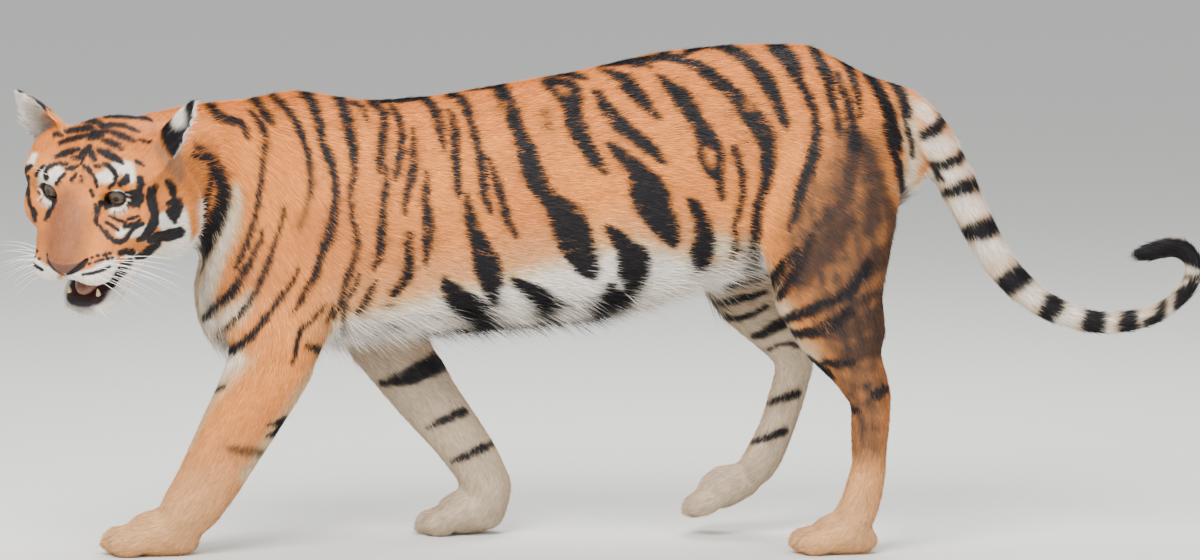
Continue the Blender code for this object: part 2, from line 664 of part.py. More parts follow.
def main():
    for thing in list(bpy.data.objects):
        bpy.data.objects.remove(thing)
    flesh = fused_body()
    thinned(flesh)
    floor = bmesh.new()
    bmesh.ops.create_cube(floor, size=4.0, matrix=Matrix.Translation((0.0, 0.0, -2.0)))
    cutters = [to_object(floor, "floor_cutter"), *face_cutters()]
    for cutter in cutters:
        cut(flesh, cutter)
    jaw = take(flesh, cutters, "lower_jaw", jaw_cutter)
    ears = [take(flesh, cutters, "ear_left", ear_cutter(LEFT_EAR_TIP)),
            take(flesh, cutters, "ear_right", ear_cutter(RIGHT_EAR_TIP))]
    nodes, slabs = named_pieces(flesh)
    tongue_piece, room = tongue()
    cutters += [*slabs, room]
    coat, pale = material("coat", COAT, 0.9), material("pale_coat", PALE, 0.9)
    dark, pink = material("eye", (0.10, 0.09, 0.05), 0.1), material("tongue", (0.45, 0.17, 0.14), 0.4)
    ivory = material("tooth", (0.75, 0.68, 0.52), 0.3)
    dressed = [(node, coat) for node in nodes] + [(largest(node), coat) for node in ears]
    dressed += [(largest(jaw), pale), (eye(1.0), dark), (eye(-1.0), dark), (tongue_piece, pink)]
    dressed += [(lower_canine(1.0), ivory), (lower_canine(-1.0), ivory)]
    whole = bpy.data.collections.new("bengal_tiger")
    aside = bpy.data.collections.new("cutters")
    for collection in (whole, aside):
        bpy.context.scene.collection.children.link(collection)
    for node, dress in dressed:
        node.data.materials.clear()
        node.data.materials.append(dress)
        node.data.name = node.name
        node.data.transform(Matrix.Translation(-ORIGIN))
        bpy.context.scene.collection.objects.unlink(node)
        whole.objects.link(node)
    for cutter in cutters:
        cutter.data.transform(Matrix.Translation(-ORIGIN))
        cutter.hide_render = True
        cutter.display_type = "WIRE"
        bpy.context.scene.collection.objects.unlink(cutter)
        aside.objects.link(cutter)


if __name__ == "__main__":
    main()
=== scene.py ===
"""A walking Bengal tigress, life size: one skin under a coat of short overlapping tufts."""
import logging
import math
from dataclasses import dataclass, field
from enum import Enum

import bmesh
import bpy
import numpy as np
from mathutils import Matrix, Vector
from mathutils.bvhtree import BVHTree


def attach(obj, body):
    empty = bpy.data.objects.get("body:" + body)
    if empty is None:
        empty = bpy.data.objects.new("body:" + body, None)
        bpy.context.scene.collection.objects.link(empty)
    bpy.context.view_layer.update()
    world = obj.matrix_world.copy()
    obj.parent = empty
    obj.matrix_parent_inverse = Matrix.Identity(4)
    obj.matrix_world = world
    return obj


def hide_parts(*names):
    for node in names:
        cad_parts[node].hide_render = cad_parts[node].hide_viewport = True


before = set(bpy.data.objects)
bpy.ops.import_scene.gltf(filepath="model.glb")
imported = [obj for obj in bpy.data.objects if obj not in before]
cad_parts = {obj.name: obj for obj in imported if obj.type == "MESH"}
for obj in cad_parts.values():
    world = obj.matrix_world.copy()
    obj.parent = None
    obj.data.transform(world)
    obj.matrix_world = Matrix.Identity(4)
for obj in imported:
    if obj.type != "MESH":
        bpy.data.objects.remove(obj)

Rows = np.ndarray
Thing = bpy.types.Object
Material = bpy.types.Material
Socket = bpy.types.NodeSocket
LOG = logging.getLogger("tigress")
MM = 0.001
SHADE = 0.85                     # how light the coat's roots and the skin are against its tips
ROOT_CROWDING = 1.6              # roots tried for each square of their spacing
ORIGIN = np.array((0.0320, -0.1105, 0.0))    # from the body's own drawing to the row frame
HEAD_SIZE = 1.09
HEAD = (
    Matrix.Translation(Vector((-0.9436, -0.330, 0.6957)) - Vector(ORIGIN))
    @ Matrix.Rotation(math.radians(245.2), 4, "Z")
    @ Matrix.Rotation(math.radians(29.0), 4, "Y")
    @ Matrix.Rotation(math.radians(-4.4), 4, "X")
    @ Matrix.Scale(HEAD_SIZE, 4)
)
HEAD_GRID = np.array(HEAD)
HEAD_INVERSE = np.array(HEAD.inverted())


def strokes(text: str) -> tuple:
    """Reads lines between semicolons, with their points of three numbers between commas."""
    return tuple(tuple(tuple(float(value) for value in point.split()) for point in row.split(","))
                 for row in text.split(";"))


# Strokes of the coat, drawn on the side chart: across, up and half width, in millimetres.
# Among the near side's stripes, the stroke from 392 -145 to 441 -186, between the hocks, is partly a
# stripe and partly painted shade.
NEAR_BLACK_AND_SHADE = strokes("""
-749 338 5.7,-734 323 7.6,-719 306 6.7,-700 302 5.7,-685 299 5.7,-673 285 4.8,-669 268 2.9;-770 259
1.9,-755 247 3.8,-738 232 7.6,-726 213 9.5,-719 190 11.4,-715 167 12.4,-717 143 12.4,-726 118 15.2,
-738 91 16.2,-749 65 13.3,-761 38 11.4,-770 15 9.5,-776 -4 5.7;-740 219 3.8,-740 190 3.8,-747 162
4.8,-753 137 5.7,-757 114 5.7,-759 91 4.8;-665 318 1.9,-656 310 3.8,-643 293 4.8,-635 274 4.8,-637
247 3.8,-641 219 3.8,-643 190 3.8,-648 162 3.8,-652 133 4.2,-660 105 3.8,-669 76 3.8,-681 48 3,-692
23 1.9;-681 356 3.8,-665 348 6.7,-650 337 7.6,-639 319 6.7,-627 306 5.7,-620 293 1.9;-641 361 2.9,
-627 356 5.7,-612 340 5.7,-595 323 5.7,-578 300 5.7,-567 274 5.7,-557 247 4.8,-551 219 3.4,-550 190
2.5,-551 162 1.5;-601 373 1.9,-578 371 6.7,-563 359 9.5,-550 342 9.5,-540 319 8.6,-532 297 7.6,-530
274 6.7,-523 251 7.6,-513 228 7.6,-506 205 6.7,-502 179 6.7,-502 152 6.7,-506 124 8.6,-511 95 8.6,
-521 68 8.6,-530 46 6.7,-536 23 6.7,-544 0 5.7,-559 -19 4.8,-570 -44 2.9,-582 -61 1.9;-504 346 3.8,
-492 337 9.5,-485 319 10.5,-479 297 10.5,-473 270 9.5,-468 247 8.6,-468 228 6.7,-466 209 5.7,-470
186 5.3,-475 160 3.8,-473 133 2.9,-470 110 2.9,-462 87 4.2,-460 65 4.8,-464 42 5.3,-473 23 4.8,-481
0 4.8,-489 -23 3.4,-494 -48 2.5,-506 -72 1.5;-456 10 1.9,-466 -15 2.5,-479 -38 2.9,-487 -61 2.9,
-487 -86 2.3,-491 -105 1.5;-643 99 1,-643 76 2.3,-654 57 3.8,-665 34 4.8,-679 11 6.7,-692 -15 7.6,
-711 -36 8.6,-734 -55 7.6,-749 -70 5.7,-766 -89 3.8;-599 137 1.1,-605 110 1.5,-612 86 2.9,-622 57
3.8,-631 30 3.8,-641 4 3.8,-654 -23 3.8,-669 -46 3.8,-685 -67 3.8,-704 -87 3.8,-719 -101 2.9,-730
-108 1.5;-574 19 1.1,-584 -4 2.5,-599 -23 3.8,-616 -46 4.4,-631 -67 4.8,-648 -89 5.7,-665 -108 6.7,
-681 -122 7.6,-700 -133 9.5,-719 -141 8.6,-736 -139 5.7;-523 -48 1.5,-536 -65 1.9,-551 -80 1.9,-567
-95 3.4,-574 -110 2.3,-578 -133 1.9,-586 -158 1.3;-506 -48 1.5,-513 -67 1.9,-521 -80 1.5;-557 -127
3.8,-540 -129 5.7,-529 -139 5.7,-525 -152 5.7,-530 -160 3.8;-631 -276 1.9,-614 -272 3.8,-597 -266
5.7;-635 -297 1.9,-618 -293 3.8,-607 -281 5.7,-597 -270 5.7;-745 -213 1.9,-726 -209 2.9,-715 -202
1.5;-472 337 1.9,-456 331 3.8,-447 319 3.8,-443 302 1.9;-437 335 1.9,-422 329 4.8,-411 316 6.7,-409
293 7.6,-413 270 7.6,-415 247 6.7,-418 224 5.7,-420 205 2.9;-397 329 2.9,-388 319 4.8,-380 300 5.7,
-376 274 6.1,-378 247 5.7,-382 224 4.8,-386 205 3.8,-388 190 1.9;-407 217 1.5,-405 194 3.4,-407 171
4.8,-411 146 5.7,-413 122 7.2,-415 95 7.6,-415 70 7.6,-418 49 7.2,-426 30 4.8,-430 17 1.9;-356 289
1.5,-354 266 3.8,-354 243 5.3,-354 219 5.7,-357 194 7.6,-365 171 5.7,-369 148 4.8,-371 125 2.3;-329
205 1.5,-329 181 4.8,-331 156 6.7,-329 131 8,-325 106 9.1,-327 80 9.1,-329 57 7.2,-331 38 5.3,-331
27 1.9;-361 91 1.5,-363 72 4.8,-363 49 7.6,-361 27 9.5,-365 8 9.5,-376 -8 8.6,-388 -23 6.7,-395 -30
3.8;-426 0 1.5,-434 -19 4.8,-443 -38 6.1,-453 -53 5.7,-462 -67 2.9;-441 340 1.9,-411 340 2.3,-380
340 2.9,-352 344 3.8,-335 346 5.7,-323 335 7.6,-312 319 9.5,-306 300 8.6,-302 278 5.7,-299 255 2.9,
-295 247 1.5;-289 323 1.5,-281 312 3.8,-276 293 6.7,-274 266 7.6,-274 238 7.6,-272 213 7.6,-270 190
7.6,-270 171 5.3,-268 156 1.9;-293 350 1.9,-274 350 3.8,-262 342 7.6,-253 327 8.6,-247 308 5.7,-241
285 5.7,-234 262 6.7,-228 238 7.6,-224 213 7.6,-222 190 7.2,-221 167 5.7,-213 145 4.8,-207 127 2.3;
-213 232 1.5,-203 209 3.8,-196 186 5.7,-188 164 6.7,-183 141 7.2,-177 118 7.6,-167 99 6.7,-160 84
3.8;-253 164 1.9,-251 145 5.6,-247 124 8.3,-241 103 11.8,-232 76 16,-224 57 19.4,-215 34 25.4,-209
10 23.4,-205 -19 16.9,-202 -38 10.1,-198 -48 3.5;-297 357 1.9,-266 363 2.9,-238 365 3.8,-219 369
5.7,-196 373 5.7;-196 373 5,-188 359 14.3,-179 340 15.2,-167 319 14,-162 300 13.5,-154 281 12.4,
-146 262 14.7,-137 243 17.9,-133 224 19.4,-127 205 19.7,-120 186 20.2,-108 169 17.3,-93 152 15.6,
-76 133 25.2,-63 114 33.4,-53 95 34.7,-46 76 34.4,-38 57 31.2,-29 38 26.9,-19 21 17.7,-10 8 6.2;
-165 382 1.9,-133 388 3.8,-95 392 4.8,-65 392 4.8,-38 386 3.8,-23 382 1.9;-108 376 3.8,-95 367 6.7,
-82 354 7.6,-68 342 9.5;-99 378 4.8,-76 376 5.7,-55 371 8.6,-44 357 10.5,-42 342 9.5;-53 342 18.9,
-51 321 17,-49 302 16.4,-40 283 17.9,-30 264 15,-19 245 13.9,-8 226 11.7,4 213 7,13 203 2.7;-4 407
1.9,23 411 2.9,57 413 4.8,86 409 3.8,97 405 1.9;34 418 1.9,67 418 1.9,95 420 3.8,118 422 4.8,137
424 4.8,160 422 1.9;114 426 3.8,125 435 7.6,139 445 4.8,152 451 1.9;156 426 1.9,175 439 6.7,198 449
8.6,217 449 7.6;0 399 0.8,19 394 3.8,38 386 9.4,53 373 15.5,67 357 13.2,82 342 12.8,95 325 9.3,106
314 5.4,114 306 2;-11 359 2.4,-2 352 6.9,4 338 9.9,15 321 11.3,29 306 13.9,42 293 13.1,59 280 12.1,
74 268 11.9,87 257 11.8,101 245 10.4,114 232 6.4,125 222 2.4;17 259 3.1,32 245 8.8,51 228 13.1,70
209 16.3,82 190 25,91 171 33.8,99 152 36.2,106 133 32.3,118 114 26.9,129 95 21.9,137 78 13.9,143 65
4.4;11 103 2.7,21 93 9.8,36 76 15.6,53 57 19.8,65 38 31,65 19 30.4,63 0 22.7,61 -19 14.6,51 -38
8.5;23 -13 7.6,10 -29 9.5,-6 -44 10.5,-15 -59 9.5;-167 2 2.9,-148 -11 9.5,-127 -23 15.2,-106 -36
18.1,-89 -44 13.3,-70 -42 4.8;-118 -38 13.3,-108 -53 15.2,-105 -68 11.4,-103 -80 7.6;-295 2 5.7,
-289 -15 13.3,-274 -30 20,-255 -46 22.8,-236 -59 22.8,-217 -70 18.1,-198 -82 13.3,-179 -87 9.5;-380
-116 3.8,-352 -108 5.7,-323 -101 5.7,-295 -95 5.7,-266 -91 5.7,-232 -87 6.7,-200 -87 7.6,-162 -87
8.6,-133 -86 7.6,-105 -80 7.6;-405 -49 2.9,-394 -49 1.9;-399 -78 1.9,-388 -87 3.8;-435 -97 1.9,-424
-106 1.9;110 388 1.7,124 378 8.2,143 359 13.4,160 342 18.2,173 323 15.9,184 304 13,196 285 16.2,203
266 19.4;215 264 11.4,228 247 7.6,230 228 7.6,228 209 8.6,228 190 8.6,230 171 6.7,232 154 3.8;192
251 7.6,196 228 7.6,205 213 7.6,217 200 7.6;255 251 3.8,260 238 5.7,266 219 6.7,272 200 5.7,272 181
5.7,272 162 5.7,268 143 4.8,262 124 3.8,257 103 3.8,257 80 4.8,259 57 4.8,255 42 2.9;167 154 2.9,
181 141 9.5,190 124 11.4,196 105 14.3,200 86 18.1,198 67 21.9,194 48 21.9,188 32 13.3,186 23 5.7;
137 416 2.9,164 415 5.7,186 405 10.5,205 392 12.4,224 376 12.4,241 365 12.4,257 350 13.3,270 333
14.3,283 316 17.1,299 299 19,310 281 19,318 264 17.1,321 245 14.6,321 226 13.9,319 207 11.4,316 188
10.8,310 169 10.5,304 150 9.5,300 131 9.1,299 112 9.5,297 93 10.1,295 74 10.1,295 55 9.5,293 36
8.7,287 23 7.6;221 445 3.8,243 439 7.6,262 432 9.5,280 418 10.5,295 403 12.4,310 388 15.2,321 371
15.2,331 354 12.4,338 335 10.5,346 316 9.5,352 300 7.6,356 287 2.9;316 453 3.8,331 441 11.4,350 430
15.2,361 416 16.2,371 399 13.3,378 380 9.5,390 361 7.2,399 342 8.6,407 323 7.6,411 302 8.2,413 281
8.7,411 262 9.5,407 243 11.4,403 224 12.4,397 205 12.4,390 186 9.9,382 167 9.9,376 148 8.6,373 129
7.6,367 112 6.7,361 97 2.9;397 449 3.8,407 437 7.6,416 418 9.1,426 399 9.5,434 380 9.9,437 361 8,
441 342 6.8,447 323 5.7,451 304 5.7,454 285 3.8,456 274 1.9;430 441 3.8,445 432 6.7,460 422 6.7,473
403 6.8,481 384 6.8,487 365 6.1,492 346 4.9,494 327 3.4,496 310 1.9;451 392 2.9,456 376 4.6,464 357
6.1,472 337 6.8,475 316 7.2,479 297 8.4,483 276 10.6,485 255 10.6;468 434 3.8,483 424 6.7,498 409
8,511 390 9.1,525 369 9.9,536 350 9.9,544 329 10.5,553 306 10.5,561 283 8.6,567 262 6.7,570 245
2.9;540 297 1.9,546 280 5.3,551 260 6.1,557 243 6.8,565 224 6.7,569 205 5.7,572 186 5.7,576 169
5.7,576 156 2.9;491 432 2.9,510 426 5.7,527 415 8.6,544 399 9.1,555 382 8.6,567 363 8,576 344 8.4,
584 327 7.2,588 310 3.8;572 331 1.9,578 310 2.5,584 291 3.8,589 272 3.8,593 253 3.4,593 234 1.9;551
411 2.9,567 399 5.7,582 388 7.6,595 375 9.5,607 359 9.5,608 346 5.7;221 456 1.9,266 460 2.3,323 462
2.9,380 458 3.2,418 451 3.8,447 443 3.8,475 434 3.8;373 59 4.8,361 44 7.6,350 29 8.6,338 13 9.5,329
-2 11.4,319 -15 12.4,314 -30 8.6,310 -46 4.8;403 80 7.6,392 61 8.6,382 42 8.6,375 23 8.6,367 6 8.6,
357 -11 8.6,346 -27 6.7,340 -36 2.9;510 27 9.5,498 8 11.4,485 -11 11.4,466 -27 9.5,443 -38 8.6,418
-49 9.5,392 -61 10.5,369 -70 9.5,354 -76 7.6,342 -80 5.7;354 -99 5.7,376 -103 7.6,403 -101 9.5,430
-91 11.4,453 -78 11.4,472 -63 9.5;392 -145 3.8,409 -160 7.6,424 -175 7.6,441 -186 5.7;428 -156 5.7,
456 -160 5.7,479 -158 5.7;525 -219 9.5,540 -209 7.6;470 -245 3.8,491 -249 3.8;-228 -80 11.4,-190
-91 11.4,-152 -97 9.5;-84 -76 7.6,-48 -84 11.4,-19 -74 9.5;-19 -70 11.4,10 -49 15.2,34 -34 15.2
""")
# Dark brown strokes on the near side, most of them over the hind leg.
NEAR_DARK_BROWN = strokes("""
477 114 11.4,456 87 15.2,434 57 17.1,407 27 15.2,380 -4 11.4;418 -95 9.5,453 -103 13.3,487 -95
15.2,517 -72 13.3,540 -49 11.4;544 143 5.7,559 110 7.6,563 76 9.5,548 46 11.4,525 23 9.5;485 257
9.5,481 228 11.4,475 205 11.4,472 181 11.4,468 158 10.5,456 137 9.5,437 122 10.5,418 103 11.4;453
99 15.2,437 76 17.1,422 53 17.1,409 34 15.2,399 15 13.3,388 -4 9.5;555 67 9.5,542 51 11.4,523 42
13.3,510 27 11.4;472 -63 9.5,491 -48 9.5,510 -36 7.6,532 -27 5.7,548 -19 2.9;525 -86 13.3,548 -95
17.1,551 -118 17.1,523 -124 19,498 -133 17.1,475 -145 13.3,460 -152 9.5;525 167 9.5,517 141 9.5,521
114 13.3,510 93 9.5;542 152 7.6,553 122 9.5,559 91 7.6,553 65 9.5;498 266 9.5,510 243 11.4,517 219
11.4,525 194 11.4,532 171 11.4;-704 -321 1.9,-685 -325 4.8,-662 -327 5.7,-643 -329 4.8;-551 219
2.9,-550 190 2.9,-551 162 2.9,-559 133 2.3,-570 99 1.9;-105 318 5.7,-103 312 3.8;-99 297 5.7,-97
287 3.8;-745 181 5.7,-740 152 9.5,-743 125 9.5,-747 99 5.7;78 179 5.7,91 162 6.7,101 146 5.7,114
127 3.8;-146 224 2.9,-143 200 3.8;-409 -124 5.7,-380 -122 7.6,-350 -114 7.6
""")
NEAR_WASH = strokes("""
403 171 26.6,388 76 41.8,380 -10 34.2;468 281 22.8,491 228 57,479 143 79.9,468 48 87.5,475 -48
83.7,491 -143 64.6,498 -219 53.2,506 -304 38
""")
NEAR_LIGHT = strokes("""
-184 335 3.8,-183 323 4.8,-184 316 3.8;-78 365 2.9,-70 359 5.7,-63 354 2.9;283 337 4.8,287 323 3.8;
202 249 3.8,207 232 5.7,213 217 3.8
""")
# Stripes on the far side. The stroke from 190 11 to 276 21 is painted shadow under the fold of the
# near flank.
FAR_BLACK_AND_SHADOW = strokes("""
-327 -281 1.9,-295 -266 6.7,-262 -251 8.6;-281 -346 1.9,-251 -333 5.7,-219 -318 6.7,-205 -310 3.8;
319 -236 1.9,346 -226 5.7,375 -215 6.7;289 -310 1.9,314 -302 4.8,352 -287 5.7;190 11 7.6,219 21
9.5,247 25 9.5,276 21 7.6;171 -25 3.8,200 -21 7.6,228 -11 9.5,257 -4 8.6,289 2 5.7,314 8 5.7;184
-40 2.9,209 -46 5.7,238 -42 5.7,266 -36 5.7,295 -30 4.8,312 -23 3.8;224 -65 2.9,243 -72 4.8,270 -72
4.8,295 -63 3.8,316 -51 2.9;293 -106 4.8,308 -103 7.6,327 -93 9.5,346 -82 9.5,365 -72 7.6;319 -133
1.9,338 -124 1.9,361 -120 2.3,375 -127 1.9;-413 -196 5.7,-384 -190 10.5,-357 -181 15.2,-331 -169
18.1,-304 -154 20.9,-281 -137 22.8
""")
NEAR_PALE = strokes("""
-483 -110 11.4,-453 -95 26.6,-409 -87 34.2,-352 -82 41.8,-295 -72 49.4,-228 -65 53.2,-158 -51 58.9,
-76 -32 62.7,0 -8 60.8,76 15 53.2,152 15 34.2,194 27 22.8;202 70 9.5,232 61 17.1,255 46 13.3;268 57
5.7,272 30 9.5;299 23 7.6,314 4 11.4,327 -23 7.6;-694 -152 15.2,-719 -181 13.3,-745 -213 11.4,-764
-247 7.6,-780 -285 7.6,-793 -314 5.7;-498 -124 9.5,-529 -171 7.6,-561 -219 7.6,-586 -257 5.7,-618
-300 7.6,-643 -342 7.6,-675 -376 5.7;327 -44 9.5,352 -61 7.6,333 -72 5.7;346 -89 5.7,371 -124 9.5,
403 -148 7.6;586 335 7.6,595 300 7.6,597 257 5.7
""")
PALE_STREAKS = strokes("""
576 319 5.7,591 285 7.6,597 247 9.5,593 205 11.4,580 171 11.4;-692 175 3.8,-690 143 9.5,-700 105
13.3,-711 76 15.2,-728 42 15.2,-743 0 17.1,-753 -38 20.9,-749 -76 22.8,-736 -114 20.9;-723 -87
17.1,-688 -61 15.2,-665 -34 7.6
""")
TAIL_BLACK = strokes("""
605 270 8.6,622 278 12.4,639 287 14.3,650 300 11.4,648 319 5.7,639 337 4.8,627 354 3.8;618 224 4.8,
639 217 9.5,660 219 10.5,679 228 11.4,696 243 9.5,698 260 6.7,688 281 4.8,675 304 3.8;635 213 5.7,
643 198 7.6,654 188 4.8;618 365 2.9,639 348 3.8,662 327 3.8,681 300 3.8,696 272 3.8;658 165 9.5,679
171 14.3,698 177 15.2,717 183 16.2,734 183 15.2,726 209 9.5,721 228 4.8;685 87 11.4,709 91 18.1,730
95 20.9,751 103 20.9,772 99 13.3,749 124 5.7;766 -17 22.8,797 6 24.7,831 30 20.9;846 -76 17.1,861
-49 22.8,878 -27 15.2;937 -110 20.9,939 -86 24.7,943 -61 20.9;996 -114 11.4,1006 -89 22.8,1008 -65
17.1;1042 -103 11.4,1050 -86 17.1,1061 -80 17.1;1070 -84 7.6,1067 -61 11.4,1074 -42 5.7;1103 -49
15.2,1112 -32 19,1126 -15 15.2;1093 6 4.8,1141 4 4.8;1141 34 15.2,1126 46 20.9,1103 57 22.8,1074 57
22.8,1046 49 20.9,1013 38 19
""")
TAIL_PALE = strokes("""
610 327 15.2,627 308 11.4;618 257 13.3,656 257 17.1,679 257 9.5;665 198 11.4,694 205 9.5,707 224
7.6;694 139 22.8,732 143 17.1;732 53 22.8,766 57 19;799 -57 15.2,827 -23 17.1;880 -86 19,905 -61
15.2;966 -95 9.5,968 -68 9.5;1027 -67 3.8,1046 -80 4.8,1061 -93 4.8;1084 -72 11.4,1099 -53 7.6;1112
-8 3.8,1141 -6 3.8;1107 19 5.7,1141 17 5.7
""")
HEAD_BLACK = strokes("""
-941 -13 4.2,-928 -8 5.3,-916 10 5.7,-907 25 5.7,-894 36 4.6;-821 145 3.8,-806 152 5.7,-799 141
6.7,-806 124 6.7,-818 127 5.7;-856 76 5.7,-840 84 7.6,-821 84 9.5,-799 91 9.5;-939 110 1.5,-928 103
1.9,-916 95 1.9;-932 122 1.5,-916 114 2.3,-901 110 1.9;-951 103 1.5,-943 91 1.9,-935 80 1.9;-768
255 4.8,-753 245 5.7,-738 232 6.7;-949 146 4.8,-955 135 4.2,-956 125 3,-960 110 1.5;-1036 152 2.9,
-1044 135 3.4,-1050 120 1.9;-894 160 3.8,-880 154 5.7,-873 160 5.7;-905 99 1.5,-884 106 2.3,-875
114 1.9;-970 272 6.7,-958 276 9.5,-949 278 6.7;-945 266 2.9,-932 262 5.7,-918 257 5.7,-909 249 2.9;
-1027 260 2.9,-1012 266 3.8,-996 270 4.2,-981 274 3.8,-974 276 2.9;-939 283 2.3,-924 280 4.4,-909
274 5.3,-894 268 4.4,-884 264 1.9;-1015 283 3.8,-1000 285 4.8,-985 287 4.8,-970 289 4.8,-962 289
1.9;-1038 276 2.3,-1031 278 3.8,-1023 274 1.9;-998 300 1.9,-981 302 2.9,-966 302 3.8,-955 300 4.8,
-945 293 5.7;-939 293 3.8,-924 295 3.8,-905 293 3.8,-890 287 3.4,-875 281 1.9;-939 312 4.8,-924 314
5.7,-905 312 4.8,-886 310 3.8,-863 306 2.9,-852 302 1.5;-970 255 2.9,-968 241 5.7,-962 230 4.8;-975
253 1.9,-983 243 4.2,-989 236 1.9;-975 243 1.5,-983 230 1.5,-987 221 1.1;-953 247 3.8,-939 241 6.7,
-926 234 6.7,-915 228 4.8,-907 222 1.9;-1034 234 2.9,-1021 240 4.8,-1006 245 5.3,-991 249 2.9;-1002
232 2.9,-993 232 3.8,-985 232 2.9;-1023 219 1.9,-1015 221 2.9;-1015 211 1.9,-1004 213 3.4,-994 217
2.5;-981 217 1.9,-975 213 4.2,-970 207 3.8;-960 217 1.9,-953 217 3.4;-1006 190 1.9,-1000 196 2.9,
-996 202 1.5;-987 198 1.1,-985 188 1.1;-943 221 2.9,-934 217 3.8,-924 207 4.2,-920 196 3.4,-924 184
2.3,-934 175 1.9;-972 207 1.9,-964 200 1.9,-958 188 2.5,-956 177 1.9;-968 171 1.9,-964 160 2.3;-911
183 4.8,-901 190 6.7,-899 198 3.8;-875 194 4.8,-873 183 6.7,-877 171 4.8;-903 162 3.8,-890 164 5.7,
-877 167 5.7,-873 152 4.8,-878 141 2.9;-909 137 2.9,-897 141 6.7,-886 145 6.7,-882 150 3.8;-928 133
1.3,-913 131 1.3;-897 116 1.9,-888 118 1.9,-878 122 1.1;-905 103 1.9,-896 105 2.3,-886 108 1.5;-869
106 2.9,-880 103 3.4,-890 95 2.9,-896 86 2.9,-901 78 3.4,-913 72 3.8,-924 74 3.4,-934 84 2.9,-939
93 2.3;-844 179 3.8,-852 169 8.6,-854 156 8.6,-850 141 8.6,-846 125 6.7,-848 110 8.6,-854 99 8.6,
-861 89 6.7,-869 80 4.8,-878 76 2.9;-821 186 5.7,-814 177 7.6,-812 165 6.7,-808 158 2.9;-799 152
3.8,-806 139 6.7,-818 129 6.7,-812 120 6.7,-808 110 2.9;-802 95 3.8,-814 91 6.7,-829 86 6.7,-842 76
5.7;-840 68 4.8,-856 57 7.6,-869 48 6.7,-880 44 3.8;-890 53 5.7,-901 55 4.8,-913 51 3.8;-960 143
2.3,-958 124 1.9,-956 105 1.3;-1044 146 2.3,-1048 129 2.7,-1055 114 1.5;-1095 203 2.9,-1091 211
4.2,-1082 217 2.9;-1088 196 2.9,-1090 183 4.2,-1088 167 2.9,-1086 152 1.9,-1080 133 2.3,-1074 114
2.9;-1072 198 1.9,-1067 209 1.9,-1057 217 1.9;-1053 194 3.8,-1055 205 2.9,-1048 215 2.9,-1036 221
2.9,-1025 222 2.5;-1034 183 2.7,-1027 194 2.3,-1017 202 1.9;-1084 143 1.9,-1076 131 3.8,-1072 125
1.9;-875 266 1.1,-859 262 1.9,-852 264 1;-882 226 1.9,-873 221 2.9,-867 217 1.3;-966 42 1.5,-965 42
1.5;-955 46 1.7,-954 46 1.7;-943 48 2.5,-939 48 2.5;-932 51 1.5,-931 51 1.5;-972 30 1.3,-968 32
1.3;-960 34 1.5,-956 36 1.5;-949 38 1.5,-945 39 1.5;-937 40 2.3,-935 40 2.3;-928 42 1.7,-927 42
1.7;-1078 70 2.5,-1078 65 2.5;-1072 55 1.5,-1071 55 1.5;-1076 46 1.3,-1075 46 1.3;-1067 40 1.3,
-1066 40 1.3;-983 10 1.3,-966 13 1.7,-949 17 2.1,-932 25 1.5;-1080 32 1.3,-1070 25 1.7,-1061 19
1.3;-774 238 3.8,-755 232 3.8,-740 217 3.8
""")
HEAD_PALE = strokes("""
-951 194 9.5,-935 198 13.3,-916 217 11.4,-899 213 13.3,-892 194 9.5;-1031 205 11.4,-1042 190 9.5,
-1055 205 11.4,-1061 190 7.6;-913 89 7.6,-903 97 7.6,-890 86 5.7;-880 91 9.5,-865 99 7.6,-856 80
9.5;-827 114 15.2,-806 87 17.1,-795 122 11.4,-789 84 11.4,-791 53 11.4,-818 57 19,-846 34 15.2,-814
32 13.3;-806 152 5.7,-797 137 7.6;-1008 8 9.5,-985 6 9.5,-960 11 11.4,-935 27 11.4,-926 40 5.7;
-1078 36 7.6,-1061 21 9.5,-1038 10 7.6;-894 48 9.5,-865 34 11.4;-1076 236 5.7,-1084 217 5.7;-1027
-57 15.2,-989 -57 17.1,-951 -53 17.1,-928 -38 9.5;-1015 -4 9.5,-989 -10 11.4,-960 -6 15.2,-937 8
15.2,-922 27 9.5;-1084 25 9.5,-1065 8 9.5,-1042 -2 9.5,-1023 -8 7.6
""")
# A stroke of painted shade on the side of the head, behind the eye.
HEAD_SHADE = strokes("""
-840 251 9.5,-821 240 15.2,-806 217 17.1,-799 194 9.5
""")
TAIL_ZONE = strokes("""
624 357 34,637 314 38,650 266 42,669 219 42,690 190 40
""")
HEAD_CHIN = strokes("""
-1012 -46 6,-990 -54 9,-967 -56 6
""")
HEAD_RUFOUS = strokes("""
-1015 171 15.2,-1012 124 34.2,-1019 76 41.8,-1023 48 38
""")

class Region(Enum):
    """The parts of the body whose coat differs."""

    HEAD = 0
    JAW = 1
    EAR = 2
    NECK = 3
    TRUNK = 4
    LEG = 5
    PAW = 6
    TAIL = 7


NODES_OF = {
    Region.HEAD: "head",
    Region.JAW: "lower_jaw",
    Region.EAR: "ear_left ear_right",
    Region.NECK: "neck",
    Region.TRUNK: "forequarters barrel hindquarters",
    Region.TAIL: "tail_root tail_middle tail_end",
    Region.LEG: "foreleg_left foreleg_right shank_left shank_right hock_left hock_right",
    Region.PAW: "fore_paw_left fore_paw_right hind_paw_left hind_paw_right",
}
REGION_OF = {name: region for region, names in NODES_OF.items() for name in names.split()}
FLESH = tuple(REGION_OF)
TRUNK = ("forequarters", "barrel", "hindquarters")


def on(parts: Rows, *names: str) -> Rows:
    """Tells which points belong to any of the named CAD nodes."""
    return np.isin(parts, [FLESH.index(name) for name in names])


